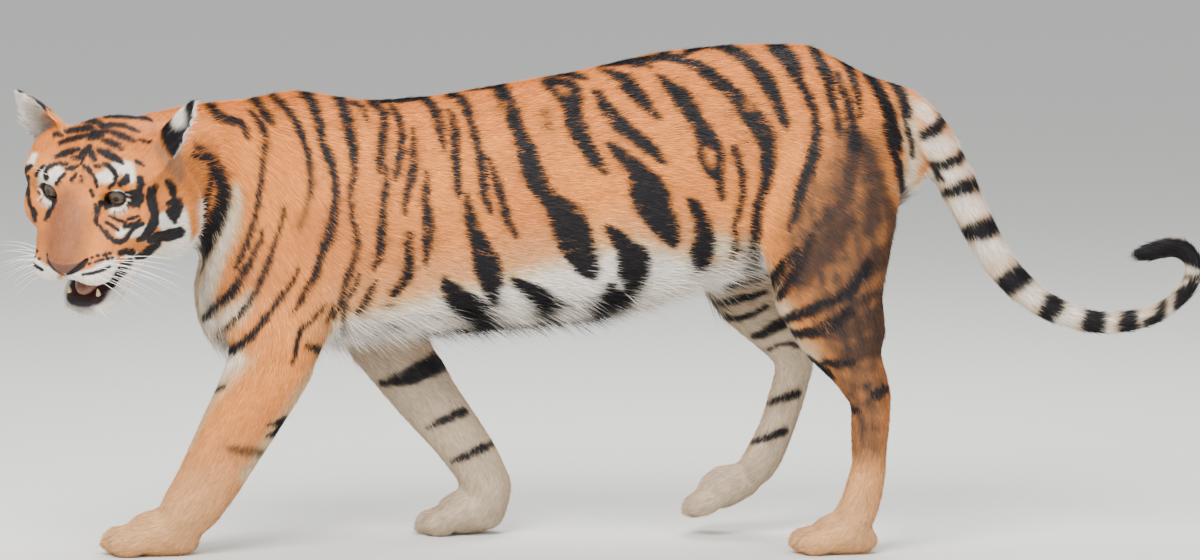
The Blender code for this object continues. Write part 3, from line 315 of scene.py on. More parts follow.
def srgb(red: float, green: float, blue: float) -> Rows:
    """Turns a colour as it is mixed, from 0 to 255, into the linear colour of a surface."""
    part = np.array((red, green, blue)) / 255.0
    return np.where(part <= 0.04045, part / 12.92, ((part + 0.055) / 1.055) ** 2.4)


def unit(vectors: Rows) -> Rows:
    """Scales each row to length one."""
    return vectors / np.maximum(np.linalg.norm(vectors, axis=1, keepdims=True), 1e-9)


def ramp(values: Rows, low: float, high: float) -> Rows:
    """Eases from 0 at low to 1 at high."""
    t = np.clip((values - low) / (high - low), 0.0, 1.0)
    return t * t * (3.0 - 2.0 * t)


def band(values: Rows, low: float | Rows, high: float | Rows) -> Rows:
    """Gives 1 for values between two bounds and 0 outside, with soft edges a millimetre wide."""
    return ramp(values, low - 0.0005, low + 0.0005) * ramp(values, high + 0.0005, high - 0.0005)


def blend(first: Rows, second: Rows, share: Rows) -> Rows:
    """Mixes colours or single colours: the first at share 0, the second at share 1."""
    return first + (second - first) * share[:, None]


def placed(points: Rows, matrix: Rows) -> Rows:
    """Moves points by a matrix."""
    return points @ matrix[:3, :3].T + matrix[:3, 3]


def ripple(points: Rows, size: float, seed: int) -> Rows:
    """Gives smooth random values that change over a given distance.

    Args:
        points: Rows of three values.
        size: The distance between one rise and the next, in metres.
        seed: Which of the patterns.

    Returns:
        Values from about -1 to 1.
    """
    chance = np.random.default_rng(seed)
    total = np.zeros(len(points))
    for _ in range(6):
        along = chance.normal(size=3)
        along *= 2.0 * math.pi / (size * np.linalg.norm(along)) * chance.uniform(0.6, 1.5)
        total += np.sin(points @ along + chance.uniform(0.0, 6.28))
    return total / 2.6


def arrays_of(mesh: bpy.types.Mesh) -> tuple[Rows, Rows]:
    """Reads a mesh of triangles.

    Args:
        mesh: The mesh.

    Returns:
        Its points and its triangles.
    """
    points = np.empty(len(mesh.vertices) * 3)
    mesh.vertices.foreach_get("co", points)
    mesh.calc_loop_triangles()
    corners = np.empty(len(mesh.loop_triangles) * 3, dtype=np.int32)
    mesh.loop_triangles.foreach_get("vertices", corners)
    return points.reshape(-1, 3), corners.reshape(-1, 3)


def made(name: str, points: Rows, faces: Rows) -> Thing:
    """Makes an object from arrays and links it into the scene.

    Args:
        name: The object's name.
        points: Rows of three values.
        faces: Rows of corner numbers, or an empty array.

    Returns:
        The new object.
    """
    mesh = bpy.data.meshes.new(name)
    mesh.from_pydata(points.tolist(), [], faces.tolist() if len(faces) else [])
    mesh.update()
    thing = bpy.data.objects.new(name, mesh)
    bpy.context.scene.collection.objects.link(thing)
    return thing


def baked(thing: Thing) -> Thing:
    """Turns an object with modifiers into a plain mesh of the same name.

    Args:
        thing: The object. Its modifiers are removed.

    Returns:
        The same object, with the evaluated mesh.
    """
    bpy.context.view_layer.update()
    shaped = thing.evaluated_get(bpy.context.evaluated_depsgraph_get())
    mesh = bpy.data.meshes.new_from_object(shaped, preserve_all_data_layers=True,
                                           depsgraph=bpy.context.evaluated_depsgraph_get())
    thing.modifiers.clear()
    old = thing.data
    thing.data = mesh
    bpy.data.meshes.remove(old)
    mesh.name = thing.name
    return thing


def ring_faces(rings: int, spokes: int) -> list[tuple[int, int, int]]:
    """Joins rings of points.

    Args:
        rings: How many gaps there are between rings.
        spokes: How many points each ring has.

    Returns:
        The triangles' corner numbers.
    """
    faces = []
    for ring in range(rings):
        for spoke in range(spokes):
            a, b = ring * spokes + spoke, ring * spokes + (spoke + 1) % spokes
            faces += [(a, a + spokes, b + spokes), (a, b + spokes, b)]
    return faces


def normals_of(points: Rows, faces: Rows) -> Rows:
    """Works out the outward direction at each point of a mesh.

    Args:
        points: Rows of three values.
        faces: The triangles.

    Returns:
        One direction for each point, of length one.
    """
    a, b, c = (points[faces[:, i]] for i in range(3))
    face = np.cross(b - a, c - a)
    total = np.zeros_like(points)
    for corner in range(3):
        for axis in range(3):
            total[:, axis] += np.bincount(faces[:, corner], face[:, axis], len(points))
    return unit(total)


class Smoother:
    """Averages values over the edges of a mesh."""

    def __init__(self, faces: Rows, count: int) -> None:
        """Finds the edges.

        Args:
            faces: The triangles.
            count: How many points the mesh has.
        """
        pairs = np.sort(np.concatenate((faces[:, :2], faces[:, 1:], faces[:, ::2])), axis=1)
        keys = np.unique(pairs[:, 0].astype(np.int64) * count + pairs[:, 1])
        first, second = keys // count, keys % count
        start = np.concatenate((first, second))
        order = np.argsort(start, kind="stable")
        self.start = start[order]
        self.end = np.concatenate((second, first))[order]
        self.number = np.bincount(self.start, minlength=count)
        self.row = np.concatenate(([0], np.cumsum(self.number)[:-1]))

    def smooth(self, values: Rows, passes: int, pull: Rows) -> Rows:
        """Moves each value towards the mean of its neighbours'.

        Args:
            values: One row for each point.
            passes: How many times.
            pull: How far each point goes at each pass, from 0 to 1.

        Returns:
            The smoothed values.
        """
        share = (pull / np.maximum(self.number, 1))[:, None]
        for _ in range(passes):
            near = np.add.reduceat(values[self.end], self.row, axis=0)
            values = values + near * share - values * pull[:, None]
        return values


@dataclass(frozen=True)
class Chart:
    """The side chart on which the coat's strokes are drawn: a plane seen from one place."""

    middle: tuple[float, float, float] = (-0.0320, 0.1105, 0.505)
    height: float = 6.0
    distance: float = 9.0

    def axes(self) -> tuple[Rows, Rows, Rows]:
        """Gives the place it is seen from, the way it is seen and its upward direction."""
        tilt = math.radians(self.height)
        ahead = np.array((0.0, math.cos(tilt), -math.sin(tilt)))
        upward = np.array((0.0, math.sin(tilt), math.cos(tilt)))
        return np.array(self.middle) - self.distance * ahead, ahead, upward

    def flat(self, points: Rows) -> Rows:
        """Finds where points lie on the chart.

        Args:
            points: Rows of three values, in metres.

        Returns:
            Across and up for each, in millimetres.
        """
        place, ahead, upward = self.axes()
        away = points - place
        scale = self.distance / (away @ ahead) / MM
        return np.stack((away[:, 0] * scale, (away @ upward) * scale), axis=1)

    def facing(self, points: Rows, normals: Rows) -> Rows:
        """Tells how far surfaces face the chart: 1 squarely, 0 at its edge."""
        return np.sum(unit(self.axes()[0] - points) * normals, axis=1)


CHART = Chart()


def covered(flat: Rows, strokes: tuple, soft: float, wider: float = 0.0) -> Rows:
    """Tells how far strokes cover points of the side chart.

    Args:
        flat: Across and up for each point, in millimetres.
        strokes: Lines of (across, up, half width), in millimetres.
        soft: Half the width of a stroke's soft edge, in millimetres.
        wider: How much is added to each half width.

    Returns:
        1 inside a stroke, 0 outside all of them.
    """
    gap = np.full(len(flat), 1e3)
    for stroke in strokes:
        line = np.array(stroke, dtype=float) + (0.0, 0.0, wider)
        reach = line[:, 2].max() + soft
        low, high = line[:, :2].min(axis=0) - reach, line[:, :2].max(axis=0) + reach
        near = np.nonzero(np.all((flat > low) & (flat < high), axis=1))[0]
        if not len(near):
            continue
        here = flat[near]
        best = np.full(len(near), 1e3)
        for (ax, ay, aw), (bx, by, bw) in zip(line[:-1], line[1:]):
            step = np.array((bx - ax, by - ay))
            along = (here - (ax, ay)) @ step / max(step @ step, 1e-6)
            along = np.clip(along, 0.0, 1.0)
            away = here - (ax, ay) - along[:, None] * step
            best = np.minimum(best, np.hypot(away[:, 0], away[:, 1]) - aw - (bw - aw) * along)
        gap[near] = np.minimum(gap[near], best)
    return 1.0 - ramp(gap, -soft, soft)


def middle_line(across: Rows) -> Rows:
    """Gives the y of the body's middle, which turns to the left at the neck."""
    xs = np.array((-0.880, -0.842, -0.780, -0.705, -0.620, -0.520, 1.2)) - ORIGIN[0]
    ys = np.array((-0.176, -0.122, -0.068, -0.026, -0.004, 0.0, 0.0)) - ORIGIN[1]
    return np.interp(across, xs, ys)


@dataclass(frozen=True)
class EyeSeat:
    """Where an eye sits in the head, and the gap between its lids."""

    side: float                      # 1 for the left eye, -1 for the right one
    radius: float = 0.0205
    place: tuple[float, float, float] = (-0.012, 0.0605, 0.003)
    outward: float = 24.0            # how far the gap is turned from straight ahead
    gaze: float = 14.0               # how far the iris is
    inner: float = -0.0185           # where the gap ends, towards the nose
    outer: float = 0.0165
    upper: float = 0.0118
    lower: float = 0.0112

    def centre(self) -> Rows:
        """Gives the eyeball's middle in the row frame."""
        x, y, z = self.place
        return np.array(HEAD @ Vector((x, y * self.side, z)))

    def axes(self, turn: float) -> tuple[Rows, Rows, Rows]:
        """Gives the ways ahead, outward and up of an eye.

        Args:
            turn: How far it is turned outward, in degrees.

        Returns:
            Three directions of length one in the row frame.
        """
        angle = math.radians(turn)
        turned = HEAD_GRID[:3, :3] / HEAD_SIZE
        ahead = turned @ (math.cos(angle), self.side * math.sin(angle), 0.0)
        out = turned @ (-math.sin(angle), self.side * math.cos(angle), 0.0)
        return ahead, out, turned @ (0.0, 0.0, 1.0)

    def local(self, points: Rows) -> Rows:
        """Turns points into outward, up and ahead of the eye's middle, in metres."""
        ahead, out, up = self.axes(self.outward)
        away = points - self.centre()
        return np.stack((away @ out, away @ up, away @ ahead), axis=1)

    def gap(self, local: Rows) -> Rows:
        """Measures from the edge of the gap between the lids.

        Args:
            local: What local() gives.

        Returns:
            Metres outside the gap; less than 0 within it.
        """
        across = local[:, 0]
        tilt = 0.0035 * across / 0.018
        up = local[:, 1] - tilt + 0.0015 * ramp(across, -0.008, -0.019)
        half = (self.outer - self.inner) / 2.0
        mid = (self.outer + self.inner) / 2.0
        share = np.clip(1.0 - np.abs((across - mid) / half) ** 2.2, 0.0, 1.0)
        tall = np.where(up > 0.0, self.upper, self.lower) * share ** 0.75
        beyond = np.maximum(np.abs(across - mid) - half, 0.0)
        return np.hypot(beyond, np.maximum(np.abs(up) - tall, 0.0)) + np.minimum(
            np.maximum(np.abs(up) - tall, np.abs(across - mid) - half), 0.0)


EYES = (EyeSeat(1.0), EyeSeat(-1.0))


@dataclass(frozen=True)
class Muzzle:
    """The bare nose and the lips, drawn across and up in the head's frame, in millimetres."""

    pad: tuple = (((0.0, -74.0, 9.0), (14.0, -72.5, 8.5), (26.0, -70.0, 6.0), (34.0, -67.5, 4.0)),)
    nostril: tuple = (((37.0, -66.0, 3.4), (31.5, -71.5, 5.4), (21.0, -78.0, 4.8),
                       (11.0, -83.5, 3.4), (3.5, -87.5, 2.0)),)
    philtrum: tuple = (((0.0, -86.0, 1.0), (0.0, -112.0, 0.8)),)
    lip: float = 0.007               # how far the black lip reaches down the jaw

    @staticmethod
    def roof(inside: Rows) -> Rows:
        """Gives how high points are above the edge of the upper lip."""
        return inside[:, 2] + 0.124 - 0.094 * (inside[:, 0] - 0.012)

    @staticmethod
    def floor(inside: Rows) -> Rows:
        """Gives how high points are above the edge of the lower lip."""
        return inside[:, 2] + 0.1462 + 0.335 * (inside[:, 0] - 0.03)

    def front(self, inside: Rows, soft: float) -> tuple[Rows, Rows, Rows]:
        """Gives the shares of the nose pad, the nostrils and the cleft below them.

        Args:
            inside: Points in the head's frame.
            soft: Half the width of their edges, in millimetres.

        Returns:
            Three shares for each point.
        """
        flat = np.stack((np.abs(inside[:, 1]), inside[:, 2]), axis=1) / MM
        ahead = ramp(inside[:, 0], 0.072, 0.082)
        return (covered(flat, self.pad, soft) * ahead, covered(flat, self.nostril, soft) * ahead,
                covered(flat, self.philtrum, soft) * ahead)

    def shares(self, inside: Rows, normals: Rows, parts: Rows) -> tuple:
        """Gives the shares of nose leather, nostril, lip and mouth lining.

        Args:
            inside: Points in the head's frame.
            normals: Their outward directions in the row frame.
            parts: The CAD node each belongs to.

        Returns:
            Four shares for each point.
        """
        up = normals @ (HEAD_GRID[:3, 2] / HEAD_SIZE)
        pad, nostril, cleft = self.front(inside, 0.8)
        jaw, head = on(parts, "lower_jaw"), on(parts, "head")
        roof, floor = self.roof(inside), self.floor(inside)
        ahead = ramp(inside[:, 0], 0.004, 0.014)
        lip = jaw * ramp(floor, -self.lip - 0.002, -self.lip + 0.002) * ahead
        corner = ramp(inside[:, 0], 0.068, 0.052) * ramp(inside[:, 0], 0.000, 0.012)
        lip = np.maximum(lip, head * corner * ramp(roof, 0.010, 0.006))
        lip = np.maximum(lip, head * ahead * ramp(up, -0.55, -0.8) * ramp(roof, 0.006, 0.004))
        # The lining of the open mouth, painted dark as the shade inside it.
        lining = jaw * ramp(up, 0.55, 0.85) * ramp(np.abs(inside[:, 1]), 0.036, 0.026)
        lining = np.maximum(lining * ramp(inside[:, 0], 0.078, 0.070),
                            head * ramp(roof, 0.004, 0.002) * ramp(inside[:, 0], 0.085, 0.075))
        return pad, np.maximum(nostril, 0.8 * cleft), lip, 0.85 * lining * ahead

    def sculpt(self, points: Rows, normals: Rows) -> Rows:
        """Raises the nose pad and sinks the nostrils and the cleft.

        Args:
            points: The skin's points.
            normals: Their outward directions.

        Returns:
            The points in their new places.
        """
        inside = placed(points, HEAD_INVERSE)
        pad, nostril, cleft = self.front(inside, 1.4)
        lift = 0.0012 * pad * (1.0 - nostril) - 0.0052 * nostril - 0.0016 * cleft
        return points + normals * lift[:, None]


MUZZLE = Muzzle()


@dataclass(frozen=True)
class PawSeat:
    """Where one paw stands in the body's own drawing, and the grooves between its toes."""

    place: tuple[float, float, float]
    size: float
    pitch: float
    grooves: tuple[float, float, float] = (-0.031, 0.0, 0.031)
    half_groove: float = 0.0042
    turning: tuple[float, float, float] = (0.05, 0.0, 0.0)

    def local(self, points: Rows) -> Rows:
        """Turns points into ahead, across and up from the floor point under the paw."""
        turning = Vector(self.turning)
        matrix = (Matrix.Translation(Vector(self.place) - Vector(ORIGIN))
                  @ Matrix.Rotation(math.pi, 4, "Z") @ Matrix.Translation(turning)
                  @ Matrix.Rotation(self.pitch, 4, "Y") @ Matrix.Translation(-turning)
                  @ Matrix.Scale(self.size, 4))
        return placed(points, np.array(matrix.inverted()))

    def between(self, points: Rows) -> Rows:
        """Tells how deep points lie in the grooves between the toes, from 0 to 1."""
        ahead, across, up = self.local(points).T
        share = sum(np.exp(-((across - groove) / self.half_groove) ** 2) for groove in self.grooves)
        here = (np.abs(across) < 0.07) & (ahead < 0.13) & (up > -0.02) & (up < 0.09)
        return here * share * ramp(ahead, 0.030, 0.058)


PAW_SEATS = (
    PawSeat((-0.836, -0.130, 0.0), 1.06, 0.0),
    PawSeat((-0.258, 0.118, 0.0), 1.00, 0.12),
    PawSeat((0.450, -0.114, 0.0), 0.96, 0.0),
    PawSeat((0.256, 0.108, 0.040), 0.94, 0.42),
)


@dataclass(frozen=True)
class Comb:
    """Paths along which the hair lies, in the body's own drawing, and how far each one reaches."""

    reach: float
    paths: tuple


COMBS = (
    Comb(0.16, strokes("""-.62 0 .86,-.3 0 .85,.1 0 .93,.5 0 .92;
-.55 -.17 .72,-.3 -.17 .62,.1 -.16 .62,.36 -.16 .58;
-.55 .17 .72,-.3 .17 .62,.1 .16 .62,.36 .16 .58""")),
    Comb(0.12, strokes("-.4 0 .42,-.1 0 .39,.2 0 .46,.4 0 .5")),
    Comb(0.10, strokes("""-.2 -.15 .5,.02 -.14 .43,.14 -.12 .38;
-.2 .15 .5,.02 .14 .43,.14 .12 .38""")),
    Comb(0.12, strokes("""-.7 -.06 .8,-.6 -.15 .7,-.52 -.17 .58;
-.66 .06 .8,-.56 .15 .7,-.48 .17 .58;
-.84 -.24 .7,-.76 -.16 .56,-.68 -.1 .46;
-.78 .02 .7,-.74 .04 .56,-.68 .06 .46""")),
    Comb(0.08, strokes("""-.575 -.11 .74,-.6 -.13 .6,-.57 -.13 .47,-.61 -.12 .37,
-.65 -.125 .29,-.742 -.13 .135,-.8 -.13 .05,-.93 -.13 .02;
-.53 .11 .74,-.54 .13 .52,-.41 .116 .378,-.286 .118 .204,-.218 .118 .08,-.34 .118 .02;
.36 -.13 .74,.41 -.14 .6,.44 -.12 .45,.507 -.11 .29,.506 -.112 .16,.47 -.114 .05,.36 -.114 .02;
.36 .13 .74,.31 .13 .56,.27 .11 .48,.372 .108 .348,.346 .108 .222,.302 .108 .13,.19 .108 .08""")),
    Comb(0.05, strokes(""".588 0 .816,.644 0 .756,.684 .004 .676,.733 .006 .58,.79 .008 .5,
.874 .01 .443,.97 .012 .421,1.062 .014 .44,1.121 .014 .49,1.132 .012 .54,1.098 .01 .568,
1.052 .008 .56,1.01 .006 .549""")),
)


@dataclass(frozen=True)
class EarSeat:
    """Where one ear stands on the head, in the head's frame."""

    foot: tuple[float, float, float]
    tip: tuple[float, float, float]
    opening: tuple[float, float, float]

    def along(self, inside: Rows) -> Rows:
        """Gives how far points lie from the ear's foot to its tip, from 0 to 1."""
        axis = np.array(self.tip) - self.foot
        return (inside - self.foot) @ axis / (axis @ axis)

    def open_side(self, normals: Rows) -> Rows:
        """Tells how far surfaces, given by their normals, face the ear's opening."""
        way = (HEAD_GRID[:3, :3] / HEAD_SIZE) @ np.array(self.opening)
        return normals @ way / np.linalg.norm(way)


EARS = {
    "ear_left": EarSeat((-0.106, 0.121, 0.028), (-0.145, 0.183, 0.108), (-0.40, 0.91, -0.12)),
    "ear_right": EarSeat((-0.106, -0.121, 0.028), (-0.142, -0.202, 0.085), (0.62, -0.75, 0.15)),
}


def combed(points: Rows, normals: Rows, parts: Rows) -> Rows:
    """Works out which way the hair lies at each point.

    Args:
        points: Rows of three values in the row frame.
        normals: Their outward directions.
        parts: The number of the CAD node each point belongs to.

    Returns:
        Directions of length one along the surface.
    """
    total = np.zeros_like(points)
    for reach, path in ((comb.reach, path) for comb in COMBS for path in comb.paths):
        line = np.array(path) - ORIGIN
        for start, end in zip(line[:-1], line[1:]):
            steps = max(2, int(np.linalg.norm(end - start) / 0.05))
            way = (end - start) / np.linalg.norm(end - start)
            for share in (np.arange(steps) + 0.5) / steps:
                apart = points - (start + (end - start) * share)
                near = np.exp(-np.sum(apart ** 2, axis=1) / (2.0 * reach ** 2))
                total += (near ** 2 + 1e-9)[:, None] * way
    inside = placed(points, HEAD_INVERSE)
    away = inside - (0.112, 0.0, -0.070)
    away[:, 2] += 0.02 - 0.10 * ramp(inside[:, 2], -0.02, -0.12)
    away[:, 0] -= 0.02
    face = away @ (HEAD_GRID[:3, :3].T / HEAD_SIZE)
    on_face = on(parts, "head", "lower_jaw")
    total[on_face] = unit(face)[on_face]
    for name, ear in EARS.items():
        way = (HEAD_GRID[:3, :3] / HEAD_SIZE) @ (np.array(ear.tip) - ear.foot)
        total[on(parts, name)] = way / np.linalg.norm(way)
    total = unit(total)
    return unit(total - np.sum(total * normals, axis=1, keepdims=True) * normals)


@dataclass
class Skin:
    """The one skin that stands for all the flesh, inside it by the depth of the coat."""

    voxel: float = 0.0062
    after_head: int = 304000         # triangles left once the head's are merged
    after_body: int = 195000         # and once the rest's are
    passes: tuple[int, ...] = (14, 14, 5, 16, 24, 10, 4, 10)     # of smoothing, for each Region
    nose: tuple[float, float, float] = (0.085, 0.0, -0.085)
    nose_reach: float = 0.062        # how far from the nose the triangles are small
    lid_reaches: tuple[float, float] = (0.036, 0.029)            # and from the eyes
    fixed: float = 0.024             # how far from the eyes none is merged
    points: Rows = field(init=False)
    faces: Rows = field(init=False)
    normals: Rows = field(init=False)
    parts: Rows = field(init=False)
    lie: Rows = field(init=False)

    def flesh(self) -> tuple[Rows, Rows, Rows]:
        """Gathers the CAD nodes of flesh as points, triangles and each triangle's node."""
        points, faces, owners, count = [], [], [], 0
        for number, name in enumerate(FLESH):
            here, corners = arrays_of(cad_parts[name].data)
            points.append(here)
            faces.append(corners + count)
            owners.append(np.full(len(corners), number))
            count += len(here)
        return np.concatenate(points), np.concatenate(faces), np.concatenate(owners)

    def depth(self) -> Rows:
        """Gives how far the skin lies inside the solids, at each point."""
        deep = {Region.HEAD: 2.6, Region.JAW: 3.0, Region.EAR: 1.0, Region.NECK: 5.0,
                Region.TRUNK: 4.5, Region.LEG: 2.2, Region.PAW: 1.4, Region.TAIL: 3.5}
        depth = np.array([deep[REGION_OF[name]] for name in FLESH])[self.parts] * MM
        trunk = on(self.parts, "barrel", "forequarters")
        depth += trunk * 0.012 * ramp(self.normals[:, 2], -0.55, -0.95)
        inside = placed(self.points, HEAD_INVERSE)
        behind = ramp(inside[:, 0], -0.05, -0.10) * ramp(inside[:, 2], 0.02, -0.03)
        depth += on(self.parts, "head") * 0.007 * behind
        return depth

    def shape(self) -> None:
        """Fuses the flesh, takes the facets off it and draws it in by the coat's depth."""
        solid_points, solid_faces, owners = self.flesh()
        body = made("flesh", solid_points, solid_faces)
        fuse = body.modifiers.new("Fuse", "REMESH")
        fuse.mode = "VOXEL"
        fuse.voxel_size = self.voxel
        baked(body)
        self.points, self.faces = arrays_of(body.data)
        tree = BVHTree.FromPolygons(solid_points.tolist(), solid_faces.tolist())
        self.settle(tree, owners)
        self.split(body, np.nonzero(self.regions() <= Region.EAR.value)[0].tolist())
        nearest = self.settle(tree, owners)
        region = self.regions()
        close = region <= Region.EAR.value
        self.points[close] = nearest[close]
        LOG.info("fused flesh: %d triangles", len(self.faces))
        even = Smoother(self.faces, len(self.points))
        passes = np.array(self.passes)
        most = passes.max()
        half = np.full(len(region), 0.5)
        pull = even.smooth((passes[region] / most)[:, None], 4, half)[:, 0]
        self.points = even.smooth(self.points, most, 0.6 * pull)
        self.normals = normals_of(self.points, self.faces)
        self.points = self.points - self.normals * even.smooth(self.depth()[:, None], 12, half)
        body.data.vertices.foreach_set("co", self.points.ravel())
        spots = [(placed(np.array([self.nose]), HEAD_GRID)[0], self.nose_reach)]
        spots += [(eye.centre(), reach) for reach in self.lid_reaches for eye in EYES]
        for place, reach in spots:
            away = np.linalg.norm(self.points - place, axis=1)
            self.split(body, np.nonzero(away < reach)[0].tolist())
        bpy.data.objects.remove(body)
        self.normals = normals_of(self.points, self.faces)
        self.sculpt()
        for head, left in ((True, self.after_head), (False, self.after_body)):
            self.settle(tree, owners)
            chosen = ((self.regions() <= Region.EAR.value) == head) & self.plain()
            for eye in EYES:
                chosen &= np.linalg.norm(self.points - eye.centre(), axis=1) > self.fixed
            self.thin(chosen, left)
        self.normals = normals_of(self.points, self.faces)
        self.settle(tree, owners)
        lie = combed(self.points, self.normals, self.parts)
        even = Smoother(self.faces, len(self.points))
        lie = even.smooth(lie, 12, np.full(len(lie), 0.5))
        across = np.sum(lie * self.normals, axis=1, keepdims=True)
        self.lie = unit(lie - across * self.normals)
        LOG.info("skin: %d triangles", len(self.faces))

    def regions(self) -> Rows:
        """Gives the number of the region each point belongs to."""
        return np.array([REGION_OF[name].value for name in FLESH])[self.parts]

    def settle(self, tree: BVHTree, owners: Rows) -> Rows:
        """Finds the node each point belongs to and gives the nearest places on the solids."""
        found = [tree.find_nearest(point) for point in self.points.tolist()]
        self.parts = owners[[hit[2] for hit in found]]
        return np.array([tuple(hit[0]) for hit in found])

    def split(self, body: Thing, rows: list[int]) -> None:
        """Splits the triangles between some of the skin's points, each into four.

        Args:
            body: The skin as an object.
            rows: The points' numbers.
        """
        grown = bmesh.new()
        grown.from_mesh(body.data)
        grown.verts.ensure_lookup_table()
        bmesh.ops.triangulate(grown, faces=grown.faces)
        chosen = {grown.verts[row] for row in rows}
        edges = [e for e in grown.edges if e.verts[0] in chosen and e.verts[1] in chosen]
        bmesh.ops.subdivide_edges(grown, edges=edges, cuts=1)
        bmesh.ops.triangulate(grown, faces=[f for f in grown.faces if len(f.verts) > 3])
        grown.to_mesh(body.data)
        grown.free()
        self.points, self.faces = arrays_of(body.data)

    def plain(self) -> Rows:
        """Tells which points lie where the coat has one colour."""
        near, pull = Smoother(self.faces, len(self.points)), np.ones(len(self.points))
        colour = Markings().colour(self.points, normals_of(self.points, self.faces), self.parts)
        change = np.abs(near.smooth(colour, 1, pull) - colour).sum(axis=1, keepdims=True)
        edge = (change > 0.27).astype(float)
        return (near.smooth(edge, 1, pull) + edge)[:, 0] < 0.2

    def thin(self, chosen: Rows, left: int) -> None:
        """Merges triangles where the skin is smooth.

        Args:
            chosen: True for the points that may be merged.
            left: How many triangles the whole skin keeps.
        """
        body = made("flesh", self.points, self.faces)
        coarse = body.vertex_groups.new(name="coarse")
        coarse.add(np.nonzero(chosen)[0].tolist(), 1.0, "REPLACE")
        merge = body.modifiers.new("Merge", "DECIMATE")
        merge.ratio = left / len(self.faces)
        merge.use_collapse_triangulate = True
        merge.vertex_group = coarse.name
        baked(body)
        self.points, self.faces = arrays_of(body.data)
        bpy.data.objects.remove(body)

    def sculpt(self) -> None:
        """Draws the lids, the nose and the lips into the face."""
        for eye in EYES:
            local = eye.local(self.points)
            away = np.linalg.norm(local, axis=1)
            gap = eye.gap(local)
            rows = np.nonzero((away < 0.045) & (local[:, 2] > -0.004))[0]
            here, reach = local[rows], away[rows]
            beyond = gap[rows]
            flat = np.hypot(here[:, 0], here[:, 1])
            lid = eye.radius + 0.0018 + 0.10 * np.maximum(beyond, 0.0)
            mixed = ramp(flat, 0.036, 0.020)
            wanted = reach + (lid - reach) * mixed
            wanted = np.where(beyond < 0.0, eye.radius - 0.006 * ramp(beyond, 0.0, -0.0016) + 0.0008,
                              wanted)
            direction = (self.points[rows] - eye.centre()) / reach[:, None]
            self.points[rows] = eye.centre() + direction * wanted[:, None]
        self.points = MUZZLE.sculpt(self.points, self.normals)
        grooves = sum(seat.between(self.points) for seat in PAW_SEATS)
        self.points = self.points - self.normals * (0.0045 * grooves)[:, None]


